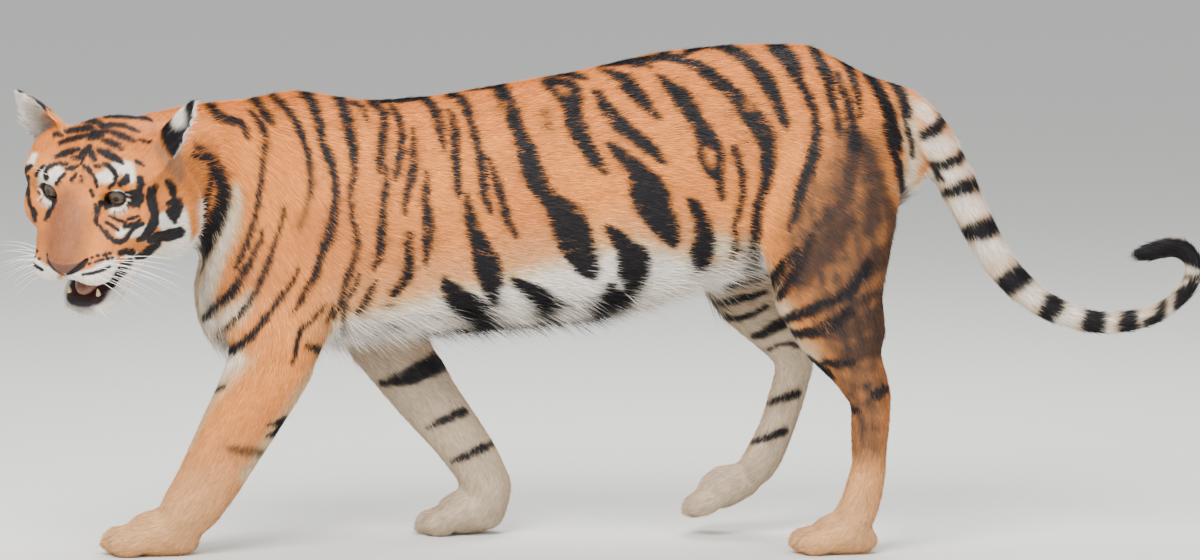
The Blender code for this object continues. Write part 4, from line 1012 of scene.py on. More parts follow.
class Markings:
    """The colours of the coat, with some painted shade and shadow, as a function of the place on the
    body.
    """

    ORANGE = srgb(228, 140, 58)
    DEEP = srgb(192, 110, 50)
    SANDY = srgb(214, 174, 128)
    CREAM = srgb(216, 194, 164)
    WHITE = srgb(232, 224, 214)
    BLACK = srgb(19, 16, 20)
    DARK_BROWN = srgb(50, 36, 30)
    WASH = srgb(82, 58, 42)
    # Cream darkened by painted shade, for the far legs and the far side's inner flank.
    SHADED_CREAM = srgb(186, 168, 144)
    RUFOUS = srgb(148, 90, 56)
    # A grey brown for painted shade: in the ears' openings, between the toes and behind the eye.
    PAINTED_SHADE = srgb(128, 112, 98)
    LEATHER = srgb(108, 68, 54)
    LIP = srgb(26, 21, 24)
    # The mouth's lining, darkened by painted shade inside the open mouth.
    SHADED_MOUTH = srgb(70, 40, 38)

    def colour(self, points: Rows, normals: Rows, parts: Rows) -> Rows:
        """Gives the coat's colour.

        Args:
            points: Rows of three values in the row frame.
            normals: Their outward directions.
            parts: The number of the CAD node each point belongs to.

        Returns:
            Linear colours.
        """
        result = np.zeros((len(points), 3))
        region = np.array([REGION_OF[name].value for name in FLESH])[parts]
        for paint, numbers in ((self.face, (0, 1)), (self.ear, (2,)), (self.body, (3, 4, 5, 6)),
                               (self.tail, (7,))):
            rows = np.nonzero(np.isin(region, numbers))[0]
            if len(rows):
                result[rows] = paint(points[rows], normals[rows], parts[rows])
        tone = 1.0 + 0.05 * ripple(points, 0.05, 3) + 0.04 * ripple(points, 0.012, 4)
        return np.clip(result * tone[:, None], 0.0, 1.0)

    def body(self, points: Rows, normals: Rows, parts: Rows) -> Rows:
        """Colours the neck, trunk, legs and paws. The arguments are those of colour()."""
        middle = middle_line(points[:, 0])
        across = points[:, 1] - middle
        legs = {side: np.isin(parts, [FLESH.index(n) for n in FLESH
                                      if n.endswith(side) and "ear" not in n])
                for side in ("_left", "_right")}
        trunk = ~legs["_left"] & ~legs["_right"]
        inner = trunk & (across > 0.01) & (normals[:, 1] < -0.05) & (points[:, 2] < 0.58)
        far_leg = legs["_right"] | inner
        turned = trunk & ~inner & (across > 0.0)
        seen = points.copy()
        slide = ramp(across, 0.02, 0.14) * (0.012 + 0.022 * ripple(points, 0.5, 11))
        seen[turned, 1] = 2.0 * middle[turned] - points[turned, 1]
        seen[turned, 0] += slide[turned]
        flat = CHART.flat(seen) + 1.6 * np.stack(
            (ripple(points, 0.018, 5), ripple(points, 0.018, 6)), axis=1)
        colour = self.ORANGE
        colour = blend(colour, self.DEEP,
                       0.35 + 0.25 * ripple(points, 0.16, 7) * (points[:, 2] < 0.8))
        high = ramp(points[:, 2], 0.45, 0.75) * (normals[:, 2] > -0.2)
        colour = blend(colour, self.SANDY, 0.1 * (1.0 - high))
        under = ramp(normals[:, 2], -0.30, -0.75) * trunk
        medial = np.where(legs["_left"], normals[:, 1], -normals[:, 1])
        inside = ramp(medial, 0.15, 0.65) * ~trunk
        pale = np.maximum(under, 0.5 * inside)
        pale = np.maximum(pale, covered(flat, NEAR_PALE, 34.0) * ~far_leg)
        pale = np.maximum(pale, 0.8 * covered(flat, PALE_STREAKS, 16.0) * ~far_leg)
        pale = np.clip(pale + 0.10 * ripple(points, 0.02, 15) * trunk * (pale > 0.0), 0.0, 1.0)
        broad = covered(flat, NEAR_PALE[:1], 70.0, 40.0) * (trunk & ~inner)
        sandy = np.maximum(ramp(pale, 0.0, 0.4), 0.60 * broad)
        sandy = np.maximum(sandy, 0.7 * ramp(points[:, 2], 0.28, 0.04))
        colour = blend(colour, self.SANDY, sandy)
        colour = blend(colour, self.CREAM, ramp(pale, 0.3, 0.7))
        colour = blend(colour, self.WHITE, ramp(pale, 0.6, 1.0))
        # Painted shade: the far legs' sides towards the camera and the far inner flank turn a
        # darkened cream.
        shaded_cream = np.where(legs["_right"], 0.9 * ramp(medial, -0.35, 0.20), 0.9 * inner)
        colour = blend(colour, self.SHADED_CREAM, shaded_cream)
        wash = covered(flat, NEAR_WASH, 36.0) * ~far_leg
        colour = blend(colour, self.WASH,
                       (0.86 + 0.14 * ripple(points, 0.03, 14)) * wash)
        dark_brown = covered(flat, NEAR_DARK_BROWN, 6.5, 3.5) * ~far_leg
        colour = blend(colour, self.DARK_BROWN, 0.85 * dark_brown)
        # Black stripes, with the painted shadow and shade of a few strokes.
        black = np.where(far_leg, covered(flat, FAR_BLACK_AND_SHADOW, 2.6, 2.5),
                         covered(flat, NEAR_BLACK_AND_SHADE, 2.2, 2.6))
        black *= 1.0 - 0.7 * covered(flat, NEAR_LIGHT, 5.0) * ~far_leg
        black *= np.where(legs["_left"], 1.0 - 0.6 * inside, 1.0)
        colour = blend(colour, self.BLACK, black)
        # Painted shade in the grooves between the toes.
        grooves = sum(seat.between(points) for seat in PAW_SEATS)
        colour = blend(colour, self.PAINTED_SHADE, 0.7 * grooves)
        root = covered(CHART.flat(points), TAIL_ZONE, 6.0) * (points[:, 0] > 0.5)
        return blend(colour, self.tail(points, normals, parts), root)

    def tail(self, points: Rows, normals: Rows, parts: Rows) -> Rows:
        """Colours the tail. The arguments are those of colour()."""
        flat = CHART.flat(points) + 1.2 * np.stack(
            (ripple(points, 0.02, 5), ripple(points, 0.02, 6)), axis=1)
        colour = self.CREAM
        upper = ramp(points[:, 0], 0.80, 0.55) * ramp(normals[:, 2] + normals[:, 0], -0.1, 0.7)
        colour = blend(colour, self.ORANGE, 0.75 * upper)
        colour = blend(colour, self.WHITE,
                       0.7 * covered(flat, TAIL_PALE, 8.0))
        return blend(colour, self.BLACK,
                     covered(flat, TAIL_BLACK, 3.0))

    def ear(self, points: Rows, normals: Rows, parts: Rows) -> Rows:
        """Colours the ears. The arguments are those of colour()."""
        inside = placed(points, HEAD_INVERSE)
        result = np.zeros((len(points), 3))
        for name, ear in EARS.items():
            rows = np.nonzero(on(parts, name))[0]
            along = ear.along(inside[rows])
            colour = blend(self.ORANGE, self.BLACK,
                           ramp(along, 0.10, 0.24))
            axis = np.array(ear.tip) - ear.foot
            aside = inside[rows] - ear.foot - along[:, None] * axis
            spot = np.hypot(np.linalg.norm(aside, axis=1) / 0.040, (along - 0.60) / 0.22)
            colour = blend(colour, self.WHITE, ramp(spot, 1.15, 0.85))
            # Painted shade: the ear's opening darkens towards its foot.
            low = ramp(along, 0.85, 0.10)
            front = blend(self.WHITE, self.PAINTED_SHADE, 0.85 * low)
            open_side = ear.open_side(normals[rows])
            result[rows] = blend(colour, front, ramp(open_side, -0.10, 0.15))
        return result

    def face(self, points: Rows, normals: Rows, parts: Rows) -> Rows:
        """Colours the head and the lower jaw. The arguments are those of colour()."""
        inside = placed(points, HEAD_INVERSE)
        hidden = (inside[:, 1] < -0.01) & (CHART.facing(points, normals) < 0.02)
        seen = inside.copy()
        seen[hidden, 1] *= -1.0
        flat = CHART.flat(placed(seen, HEAD_GRID))
        flat += 0.5 * np.stack((ripple(points, 0.012, 8), ripple(points, 0.012, 9)), axis=1)
        colour = blend(self.ORANGE, self.DEEP,
                       0.55 + 0.2 * ripple(points, 0.08, 12))
        colour = blend(colour, self.RUFOUS,
                       covered(flat, HEAD_RUFOUS, 22.0) * ramp(inside[:, 0], -0.02, 0.03))
        pale = covered(flat, HEAD_PALE, 5.0)
        collar = ramp(inside[:, 0], -0.135, -0.160)
        under = ramp(inside[:, 2], -0.105, -0.135) * (1.0 - collar)
        rear = ramp(inside[:, 0], -0.07, -0.12) * ramp(inside[:, 2], -0.05, -0.09) * (1.0 - collar)
        pale = np.maximum(pale * (1.0 - collar), np.maximum(under, 0.8 * rear))
        colour = blend(colour, self.CREAM, np.minimum(1.5 * pale, 1.0))
        colour = blend(colour, self.WHITE, ramp(pale, 0.4, 1.0))
        # Painted shade behind the eye.
        colour = blend(colour, self.PAINTED_SHADE, 0.55 * covered(flat, HEAD_SHADE, 9.0))
        black = np.maximum(covered(flat, HEAD_BLACK, 1.4, 2.0),
                           covered(flat, NEAR_BLACK_AND_SHADE, 2.2, 2.6) * collar)
        colour = blend(colour, self.BLACK, black)
        for eye in EYES:
            local = eye.local(points)
            gap = eye.gap(local) + 0.1 * (local[:, 2] < 0.0)
            across, up = local[:, 0], local[:, 1]
            wide = 0.0038 + 0.0010 * ramp(up, 0.002, -0.004) + 0.0050 * ramp(across, -0.012, -0.022)
            lower = ramp(up, 0.001, -0.004) * ramp(across, -0.021, -0.015)
            patch = lower * band(across, 0.000, 0.024) * band(gap, wide + 0.0046, wide + 0.0100)
            colour = blend(colour, self.BLACK, patch)
            lids = np.maximum(lower * band(gap, wide, wide + 0.0042),
                              0.9 * ramp(up, 0.004, 0.008) * band(gap, wide, wide + 0.0034))
            colour = blend(colour, self.WHITE, lids)
            colour = blend(colour, self.BLACK, ramp(gap, wide + 0.0008, wide - 0.0008))
        chin = covered(flat, HEAD_CHIN, 8.0) * on(parts, "lower_jaw")
        colour = blend(colour, self.LIP, 0.7 * chin)
        for share, paint in zip(MUZZLE.shares(inside, normals, parts),
                                (self.LEATHER, self.LIP, self.LIP, self.SHADED_MOUTH)):
            colour = blend(colour, paint, share)
        return colour


class Weave:
    """A Geometry Nodes tree under construction, with named inputs."""

    def __init__(self, name: str) -> None:
        """Starts the tree.

        Args:
            name: What the tree makes.
        """
        self.tree = bpy.data.node_groups.new(name, "GeometryNodeTree")
        self.tree.is_modifier = True
        self.tree.interface.new_socket("Geometry", in_out="INPUT", socket_type="NodeSocketGeometry")
        self.tree.interface.new_socket("Geometry", in_out="OUTPUT", socket_type="NodeSocketGeometry")
        self.inputs: dict[str, str] = {}
        self.source = self.tree.nodes.new("NodeGroupInput")
        self.sink = self.tree.nodes.new("NodeGroupOutput")

    def input(self, name: str, kind: str) -> Socket:
        """Adds a named input and gives the socket that carries it."""
        made_socket = self.tree.interface.new_socket(name, in_out="INPUT", socket_type=kind)
        self.inputs[name] = made_socket.identifier
        return next(s for s in self.source.outputs if s.identifier == made_socket.identifier)

    def node(self, kind: str, settings: dict | None = None, *given: object,
             **links: object) -> bpy.types.Node:
        """Adds a node.

        Args:
            kind: The node's type.
            settings: Its properties.
            given: For each input in use, in order, a socket to link or a value.
            links: The same for inputs by name, with _ for a space.

        Returns:
            The node.
        """
        added = self.tree.nodes.new(kind)
        for name, value in (settings or {}).items():
            setattr(added, name, value)
        used = [socket for socket in added.inputs if socket.enabled]
        by_name = {socket.name.replace(" ", "_"): socket for socket in reversed(used)}
        for socket, value in (*zip(used, given), *((by_name[key], links[key]) for key in links)):
            if isinstance(value, Socket):
                self.tree.links.new(value, socket)
            else:
                socket.default_value = value
        return added

    def math(self, operation: str, first: object, second: object) -> Socket:
        """Works out a sum of two numbers and gives the socket that carries it."""
        return self.node("ShaderNodeMath", {"operation": operation}, first, second).outputs[0]

    def vector(self, operation: str, first: object, second: object) -> Socket:
        """Works out a sum with a vector and gives the socket that carries it."""
        return self.node("ShaderNodeVectorMath", {"operation": operation}, first, second).outputs[0]

    def store(self, name: str, kind: str, domain: str, geometry: object,
              value: object) -> Socket:
        """Stores an attribute and gives the socket of the geometry that has it."""
        return self.node("GeometryNodeStoreNamedAttribute", {"data_type": kind, "domain": domain},
                         Geometry=geometry, Name=name, Value=value).outputs[0]

    def named(self, name: str, kind: str) -> Socket:
        """Reads an attribute of the geometry."""
        reader = self.node("GeometryNodeInputNamedAttribute", {"data_type": kind}, Name=name)
        return next(s for s in reader.outputs if s.enabled and s.name == "Attribute")

    def apply(self, thing: Thing, **values: object) -> Thing:
        """Runs the tree on an object and keeps the plain mesh.

        Args:
            thing: The object.
            values: For each named input, with _ for a space, its value.

        Returns:
            The same object, with the mesh that the tree made.
        """
        modifier = thing.modifiers.new(self.tree.name, "NODES")
        modifier.node_group = self.tree
        for name, value in values.items():
            modifier[self.inputs[name.replace("_", " ")]] = value
        return baked(thing)


def scatter_tree() -> Weave:
    """Makes the tree that sets roots evenly on a skin."""
    weave = Weave("Roots")
    spacing = weave.input("Spacing", "NodeSocketFloat")
    seed = weave.input("Seed", "NodeSocketInt")
    densest = weave.math("DIVIDE", ROOT_CROWDING, weave.math("MULTIPLY", spacing, spacing))
    spread = weave.node("GeometryNodeDistributePointsOnFaces", {"distribute_method": "POISSON"},
                        Mesh=weave.source.outputs["Geometry"], Distance_Min=spacing,
                        Density_Max=densest, Density_Factor=weave.named("dense", "FLOAT"),
                        Seed=seed)
    dots = weave.node("GeometryNodePointsToVertices", Points=spread.outputs["Points"])
    weave.tree.links.new(dots.outputs["Mesh"], weave.sink.inputs["Geometry"])
    return weave


def tuft_tree() -> Weave:
    """Makes the tree that grows a pointed tuft from each root."""
    weave = Weave("Tufts")
    sides = weave.input("Sides", "NodeSocketInt")
    joints = weave.input("Joints", "NodeSocketInt")
    material = weave.input("Material", "NodeSocketMaterial")
    patch = weave.input("Patch", "NodeSocketFloat")
    hair = weave.node("GeometryNodeMeshCone", {"fill_type": "TRIANGLE_FAN"}, Vertices=sides,
                      Side_Segments=joints, Radius_Top=0.0, Radius_Bottom=0.5, Depth=1.0)
    where = weave.node("GeometryNodeInputPosition")
    local = weave.store("local", "FLOAT_VECTOR", "POINT", hair.outputs["Mesh"], where.outputs[0])
    dots = weave.node("GeometryNodeMeshToPoints", Mesh=weave.source.outputs["Geometry"])
    turn = weave.node("FunctionNodeAxesToRotation", {"primary_axis": "Z", "secondary_axis": "Y"},
                      weave.named("hair", "FLOAT_VECTOR"), weave.named("out", "FLOAT_VECTOR"))
    grown = weave.node("GeometryNodeInstanceOnPoints", Points=dots.outputs[0], Instance=local,
                       Rotation=turn.outputs[0], Scale=weave.named("size", "FLOAT_VECTOR"))
    real = weave.node("GeometryNodeRealizeInstances", Geometry=grown.outputs[0])
    part = weave.node("ShaderNodeSeparateXYZ", None, weave.named("local", "FLOAT_VECTOR"))
    along = part.outputs["Z"]
    curl = weave.vector("SCALE", weave.named("curl", "FLOAT_VECTOR"),
                        weave.math("MULTIPLY", along, along))
    bent = weave.node("GeometryNodeSetPosition", Geometry=real.outputs[0], Offset=curl)
    mix = weave.node("ShaderNodeMix", {"data_type": "RGBA"}, along,
                     weave.named("foot", "FLOAT_COLOR"), weave.named("tip", "FLOAT_COLOR"))
    mapped = weave.store("tint", "FLOAT_COLOR", "POINT", bent.outputs[0], mix.outputs[2])
    flat = weave.node("ShaderNodeCombineXYZ", X=part.outputs["X"], Y=along)
    moved = weave.vector("ADD", weave.vector("SCALE", flat.outputs[0], patch),
                         weave.named("root", "FLOAT_VECTOR"))
    mapped = weave.store("OFBake", "FLOAT2", "CORNER", mapped, moved)
    for name in ("local", "size", "curl", "foot", "tip", "root", "hair", "out"):
        mapped = weave.node("GeometryNodeRemoveAttribute", Geometry=mapped, Name=name).outputs[0]
    dressed = weave.node("GeometryNodeSetMaterial", Geometry=mapped, Material=material)
    weave.tree.links.new(dressed.outputs[0], weave.sink.inputs["Geometry"])
    return weave


def set_rows(mesh: bpy.types.Mesh, name: str, kind: str, rows: Rows) -> None:
    """Stores an attribute on a mesh's points.

    Args:
        mesh: The mesh.
        name: The attribute.
        kind: FLOAT, FLOAT_VECTOR or FLOAT_COLOR.
        rows: One row for each point.
    """
    layer = mesh.attributes.new(name, kind, "POINT")
    if kind == "FLOAT_COLOR":
        rows = np.concatenate((rows, np.ones((len(rows), 1))), axis=1)
        layer.data.foreach_set("color", rows.ravel())
    else:
        layer.data.foreach_set("vector" if kind == "FLOAT_VECTOR" else "value", rows.ravel())


def set_roots(mesh: bpy.types.Mesh, **rows: Rows) -> None:
    """Stores what the tree of the tufts reads at each root."""
    for name, values in rows.items():
        set_rows(mesh, name, "FLOAT_COLOR" if name in ("foot", "tip") else "FLOAT_VECTOR", values)


def add_grain(material: Material, strength: float, size: float) -> None:
    """Adds a fine uneven grain to a finish.

    Args:
        material: The finish.
        strength: How strongly it shows.
        size: How many grains there are in a metre.
    """
    nodes, links = material.node_tree.nodes, material.node_tree.links
    place = nodes.new("ShaderNodeTexCoord")
    noise = nodes.new("ShaderNodeTexNoise")
    noise.inputs["Scale"].default_value = size
    noise.inputs["Detail"].default_value = 2.0
    links.new(place.outputs["Object"], noise.inputs["Vector"])
    bump = nodes.new("ShaderNodeBump")
    bump.inputs["Strength"].default_value = strength
    bump.inputs["Distance"].default_value = 0.001
    links.new(noise.outputs["Fac"], bump.inputs["Height"])
    links.new(bump.outputs["Normal"], nodes["Principled BSDF"].inputs["Normal"])


def welded(thing: Thing) -> Thing:
    """Merges an object's doubled points and turns its faces outwards."""
    grown = bmesh.new()
    grown.from_mesh(thing.data)
    bmesh.ops.remove_doubles(grown, verts=grown.verts, dist=1e-6)
    bmesh.ops.dissolve_degenerate(grown, edges=grown.edges, dist=1e-6)
    bmesh.ops.recalc_face_normals(grown, faces=grown.faces)
    grown.to_mesh(thing.data)
    grown.free()
    return thing


@dataclass(frozen=True)
class Finish:
    """A finish of one colour or, where none is given, of the piece's own tint."""

    name: str
    colour: tuple[float, float, float] | None = None
    roughness: float = 0.5
    specular: float = 0.5
    coat: float = 0.0
    coat_roughness: float = 0.05
    grain: float = 0.0
    grain_size: float = 300.0

    def material(self) -> Material:
        """Makes the material."""
        dressed = bpy.data.materials.new(self.name)
        dressed.use_nodes = True
        shader = dressed.node_tree.nodes["Principled BSDF"]
        for socket, value in (("Roughness", self.roughness), ("Coat Weight", self.coat),
                              ("Specular IOR Level", self.specular),
                              ("Coat Roughness", self.coat_roughness)):
            shader.inputs[socket].default_value = value
        if self.colour:
            shader.inputs["Base Color"].default_value = (*srgb(*self.colour), 1.0)
        else:
            tint = dressed.node_tree.nodes.new("ShaderNodeAttribute")
            tint.attribute_name = "tint"
            dressed.node_tree.links.new(tint.outputs["Color"], shader.inputs["Base Color"])
        if self.grain:
            add_grain(dressed, self.grain, self.grain_size)
        return dressed


@dataclass
class Patchwork:
    """One piece of the coat: where it grows and how its tufts are cut."""

    name: str
    parts: tuple[str, ...]
    spacing: float
    length: float
    width: float
    lift: float = 9.0                # degrees off the skin
    thick: float = 0.35              # of the width
    joints: int = 1
    axis: tuple = ((0.0, 0.0, 0.0), (0.0, 0.0, 1.0))
    seed: int = 1


TRUNK_AXIS = ((-0.66, 0.0, 0.62), (0.60, 0.0, 0.72))
HEAD_AXIS = ((-0.86, -0.15, 0.75), (-0.99, -0.44, 0.60))
PATCHES = (
    Patchwork("coat_face", ("head", "lower_jaw"), 0.0023, 0.0070, 0.0016, 10.0, axis=HEAD_AXIS,
              seed=11),
    Patchwork("coat_ears", ("ear_left", "ear_right"), 0.0022, 0.0090, 0.0018, 14.0,
              axis=HEAD_AXIS, seed=12),
    Patchwork("coat_neck", ("neck",), 0.0028, 0.0190, 0.0026, axis=TRUNK_AXIS, seed=13),
    Patchwork("coat_shoulders", ("forequarters",), 0.0030, 0.0160, 0.0026, axis=TRUNK_AXIS,
              seed=14),
    Patchwork("coat_barrel", ("barrel",), 0.0030, 0.0165, 0.0026, axis=TRUNK_AXIS, seed=15),
    Patchwork("coat_hips", ("hindquarters",), 0.0030, 0.0160, 0.0026, axis=TRUNK_AXIS, seed=16),
    Patchwork("coat_fore_left", ("foreleg_left", "fore_paw_left"), 0.0026, 0.0125, 0.0022,
              axis=((-0.60, -0.115, 0.44), (-0.80, -0.13, 0.04)), seed=17),
    Patchwork("coat_fore_right", ("foreleg_right", "fore_paw_right"), 0.0026, 0.0125, 0.0022,
              axis=((-0.46, 0.115, 0.43), (-0.22, 0.118, 0.04)), seed=18),
    Patchwork("coat_hind_left", ("shank_left", "hock_left", "hind_paw_left"), 0.0026, 0.0125,
              0.0022, axis=((0.43, -0.108, 0.44), (0.48, -0.114, 0.04)), seed=19),
    Patchwork("coat_hind_right", ("shank_right", "hock_right", "hind_paw_right"), 0.0026, 0.0125,
              0.0022, axis=((0.28, 0.106, 0.47), (0.31, 0.108, 0.10)), seed=20),
    Patchwork("coat_tail", ("tail_root", "tail_middle", "tail_end"), 0.0026, 0.0170, 0.0024, 12.0,
              axis=((0.58, 0.0, 0.70), (1.13, 0.01, 0.45)), seed=21),
    Patchwork("coat_fringe", TRUNK, 0.0062, 0.0260, 0.0030,
              14.0, joints=3, axis=TRUNK_AXIS, seed=22),
    Patchwork("coat_ruff", ("head", "lower_jaw"), 0.0044, 0.0170, 0.0026, 12.0, joints=3,
              axis=HEAD_AXIS, seed=23),
    Patchwork("coat_chin", ("lower_jaw",), 0.0038, 0.0300, 0.0024, 16.0, joints=3,
              axis=HEAD_AXIS, seed=25),
    Patchwork("coat_ear_lining", ("ear_left", "ear_right"), 0.0034, 0.0200, 0.0016, 22.0,
              joints=3, axis=HEAD_AXIS, seed=24),
)


@dataclass
class Coat:
    """All the tufts over the skin."""

    skin: Skin
    markings: Markings
    material: Material
    roots: Weave = field(default_factory=scatter_tree)
    tufts: Weave = field(default_factory=tuft_tree)

    def lengths(self, points: Rows, normals: Rows, parts: Rows) -> Rows:
        """Gives how long the coat is at each point, against the piece's own length."""
        inside = placed(points, HEAD_INVERSE)
        on_face = on(parts, "head", "lower_jaw")
        cheek = ramp(inside[:, 0], 0.02, -0.10)
        scale = np.where(on_face, 0.55 + 1.2 * cheek, 1.0)
        scale += on(parts, *TRUNK) * ramp(normals[:, 2], -0.25, -0.8)
        return scale

    def grow(self, patch: Patchwork, mask: Rows) -> Thing:
        """Grows one piece of the coat.

        Args:
            patch: The piece.
            mask: From 0 to 1 for each point of the skin, how densely it grows there.

        Returns:
            The piece, as a plain mesh.
        """
        skin = self.skin
        kept = skin.faces[mask[skin.faces].max(axis=1) > 0.0]
        host = made(patch.name, skin.points, kept)
        set_rows(host.data, "dense", "FLOAT", mask)
        set_rows(host.data, "lie", "FLOAT_VECTOR", skin.lie)
        set_rows(host.data, "up", "FLOAT_VECTOR", skin.normals)
        owner = host.data.attributes.new("part", "FLOAT", "FACE")
        owner.data.foreach_set("value", skin.parts[kept[:, 0]].astype(float))
        self.roots.apply(host, Spacing=patch.spacing, Seed=patch.seed)
        mesh = host.data
        count = len(mesh.vertices)
        points = np.empty(count * 3)
        mesh.vertices.foreach_get("co", points)
        points = points.reshape(-1, 3)
        lie, up, part = np.empty(count * 3), np.empty(count * 3), np.empty(count)
        mesh.attributes["lie"].data.foreach_get("vector", lie)
        mesh.attributes["up"].data.foreach_get("vector", up)
        mesh.attributes["part"].data.foreach_get("value", part)
        lie, up = unit(lie.reshape(-1, 3)), unit(up.reshape(-1, 3))
        part = np.clip(np.rint(part).astype(int), 0, len(FLESH) - 1)
        self.dress(patch, mesh, points, lie, up, part)
        self.tufts.apply(host, Sides=3, Joints=patch.joints, Material=self.material, Patch=0.003)
        LOG.info("%s: %d tufts, %d triangles", patch.name, count, len(host.data.polygons))
        return host

    def dress(self, patch: Patchwork, mesh: bpy.types.Mesh, points: Rows, lie: Rows,
              up: Rows, part: Rows) -> None:
        """Gives each root its tuft's direction, size and colours.

        Args:
            patch: The piece.
            mesh: The roots.
            points: Where they are.
            lie: Which way the hair lies at each.
            up: Which way is out at each.
            part: The CAD node each belongs to.
        """
        chance = np.random.default_rng(patch.seed)
        count = len(points)
        side = np.cross(up, lie)
        spread = chance.normal(0.0, 0.16, count)[:, None]
        lift = np.radians(patch.lift * np.exp(chance.normal(0.0, 0.35, count)))[:, None]
        lift += 0.25 * (ramp(up[:, 2], -0.5, -0.95) * on(part, *TRUNK))[:, None]
        hair = unit(lie + side * spread)
        hair = unit(hair * np.cos(lift) + up * np.sin(lift))
        length = patch.length * np.exp(chance.normal(0.0, 0.20, count))
        length *= self.lengths(points, up, part)
        width = patch.width * np.exp(chance.normal(0.0, 0.20, count))
        size = np.stack((width, width * patch.thick, length), axis=1)
        curl = -up * (length * 0.10)[:, None] if patch.joints > 1 else np.zeros((count, 3))
        curl[:, 2] -= 0.25 * length * (patch.joints > 1)
        foot = self.markings.colour(points + lie * (0.15 * length)[:, None], up, part)
        tip = self.markings.colour(points + lie * (0.80 * length)[:, None], up, part)
        tone = np.exp(chance.normal(0.0, 0.15, count))[:, None]
        set_roots(mesh, hair=hair, out=up, size=size, curl=curl,
                  foot=np.clip(foot * tone * SHADE, 0, 1), tip=np.clip(tip * tone, 0, 1),
                  root=self.unrolled(patch, points))

    @staticmethod
    def unrolled(patch: Patchwork, points: Rows) -> Rows:
        """Unrolls the skin about a piece's own axis, for its map.

        Args:
            patch: The piece.
            points: Rows of three values.

        Returns:
            Rows of two values from 0 to 1, and a 0.
        """
        start, end = (np.array(p) - ORIGIN for p in patch.axis)
        way = (end - start) / np.linalg.norm(end - start)
        side = unit(np.cross(way, (0.0, 1.0, 0.02))[None, :])[0]
        other = np.cross(way, side)
        away = points - start
        along = away @ way
        turn = np.arctan2(away @ other, away @ side) / (2.0 * math.pi) + 0.5
        span = max(along.max() - along.min(), 1e-6)
        return np.stack((0.01 + 0.975 * turn, 0.01 + 0.975 * (along - along.min()) / span,
                         np.zeros(len(points))), axis=1)


@dataclass
class Eye:
    """One eye: a ball with its iris and pupil under a clear, wet cornea."""

    seat: EyeSeat
    iris_radius: float = 0.0156
    pupil_radius: float = 0.0053
    rings: int = 96
    spokes: int = 96

    def build(self, name: str) -> Thing:
        """Makes the eyeball.

        Args:
            name: The piece's name.

        Returns:
            The piece.
        """
        ahead, out, up = self.seat.axes(self.seat.gaze)
        centre, radius = self.seat.centre(), self.seat.radius - 0.0004
        points = [centre + ahead * radius]
        for ring in range(1, self.rings):
            angle = math.pi * (ring / self.rings) ** 1.4
            for spoke in range(self.spokes):
                turn = 2.0 * math.pi * spoke / self.spokes
                away = out * math.cos(turn) + up * math.sin(turn)
                points.append(centre + (ahead * math.cos(angle) + away * math.sin(angle)) * radius)
        points.append(centre - ahead * radius)
        faces = [(a + 1, b + 1, c + 1) for a, b, c in ring_faces(self.rings - 2, self.spokes)]
        last, low = len(points) - 1, 1 + (self.rings - 2) * self.spokes
        for spoke in range(self.spokes):
            after = (spoke + 1) % self.spokes
            faces += [(0, 1 + spoke, 1 + after), (last, low + after, low + spoke)]
        points, faces = np.array(points), np.array(faces)
        if np.sum(np.cross(points[faces[0, 1]] - points[faces[0, 0]],
                           points[faces[0, 2]] - points[faces[0, 0]]) * ahead) < 0.0:
            faces = faces[:, ::-1]
        ball = made(name, points, faces)
        ball.data.shade_smooth()
        set_rows(ball.data, "tint", "FLOAT_COLOR", self.tint(points, ahead, out, up))
        cornea = Finish("wet " + name, roughness=0.35, specular=0.1, coat=0.5, coat_roughness=0.02)
        ball.data.materials.append(cornea.material())
        return ball

    def tint(self, points: Rows, ahead: Rows, out: Rows,
             up: Rows) -> Rows:
        """Colours the eyeball.

        Args:
            points: Its points.
            ahead: The way it looks.
            out: Its outward direction.
            up: Its upward direction.

        Returns:
            Linear colours.
        """
        away = points - self.seat.centre()
        flat = np.hypot(away @ out, away @ up)
        flat = np.where(away @ ahead > 0.0, flat, 1.0)
        turn = np.arctan2(away @ up, away @ out)
        streak = (0.5 + 0.28 * np.sin(turn * 31.0 + 3.0 * np.sin(turn * 5.0))
                  + 0.2 * np.sin(turn * 67.0))
        colour = blend(srgb(50, 42, 36), srgb(84, 72, 62), streak)
        # Painted light and shade: the lower half of the iris is lighter and more golden, and the
        # upper half stays dark as in the shade of the lid.
        low = ramp(away @ up, 0.0, -0.011)
        colour = blend(colour, srgb(134, 104, 70), 0.7 * low)
        inner = ramp(flat, self.pupil_radius + 0.0045, self.pupil_radius + 0.001)
        colour = blend(colour, srgb(70, 60, 46), 0.6 * inner)
        edge = ramp(flat, self.iris_radius - 0.0022, self.iris_radius)
        colour = blend(colour, srgb(22, 18, 15), edge)
        return blend(colour, srgb(6, 5, 5),
                     ramp(flat, self.pupil_radius + 0.0004, self.pupil_radius - 0.0004))


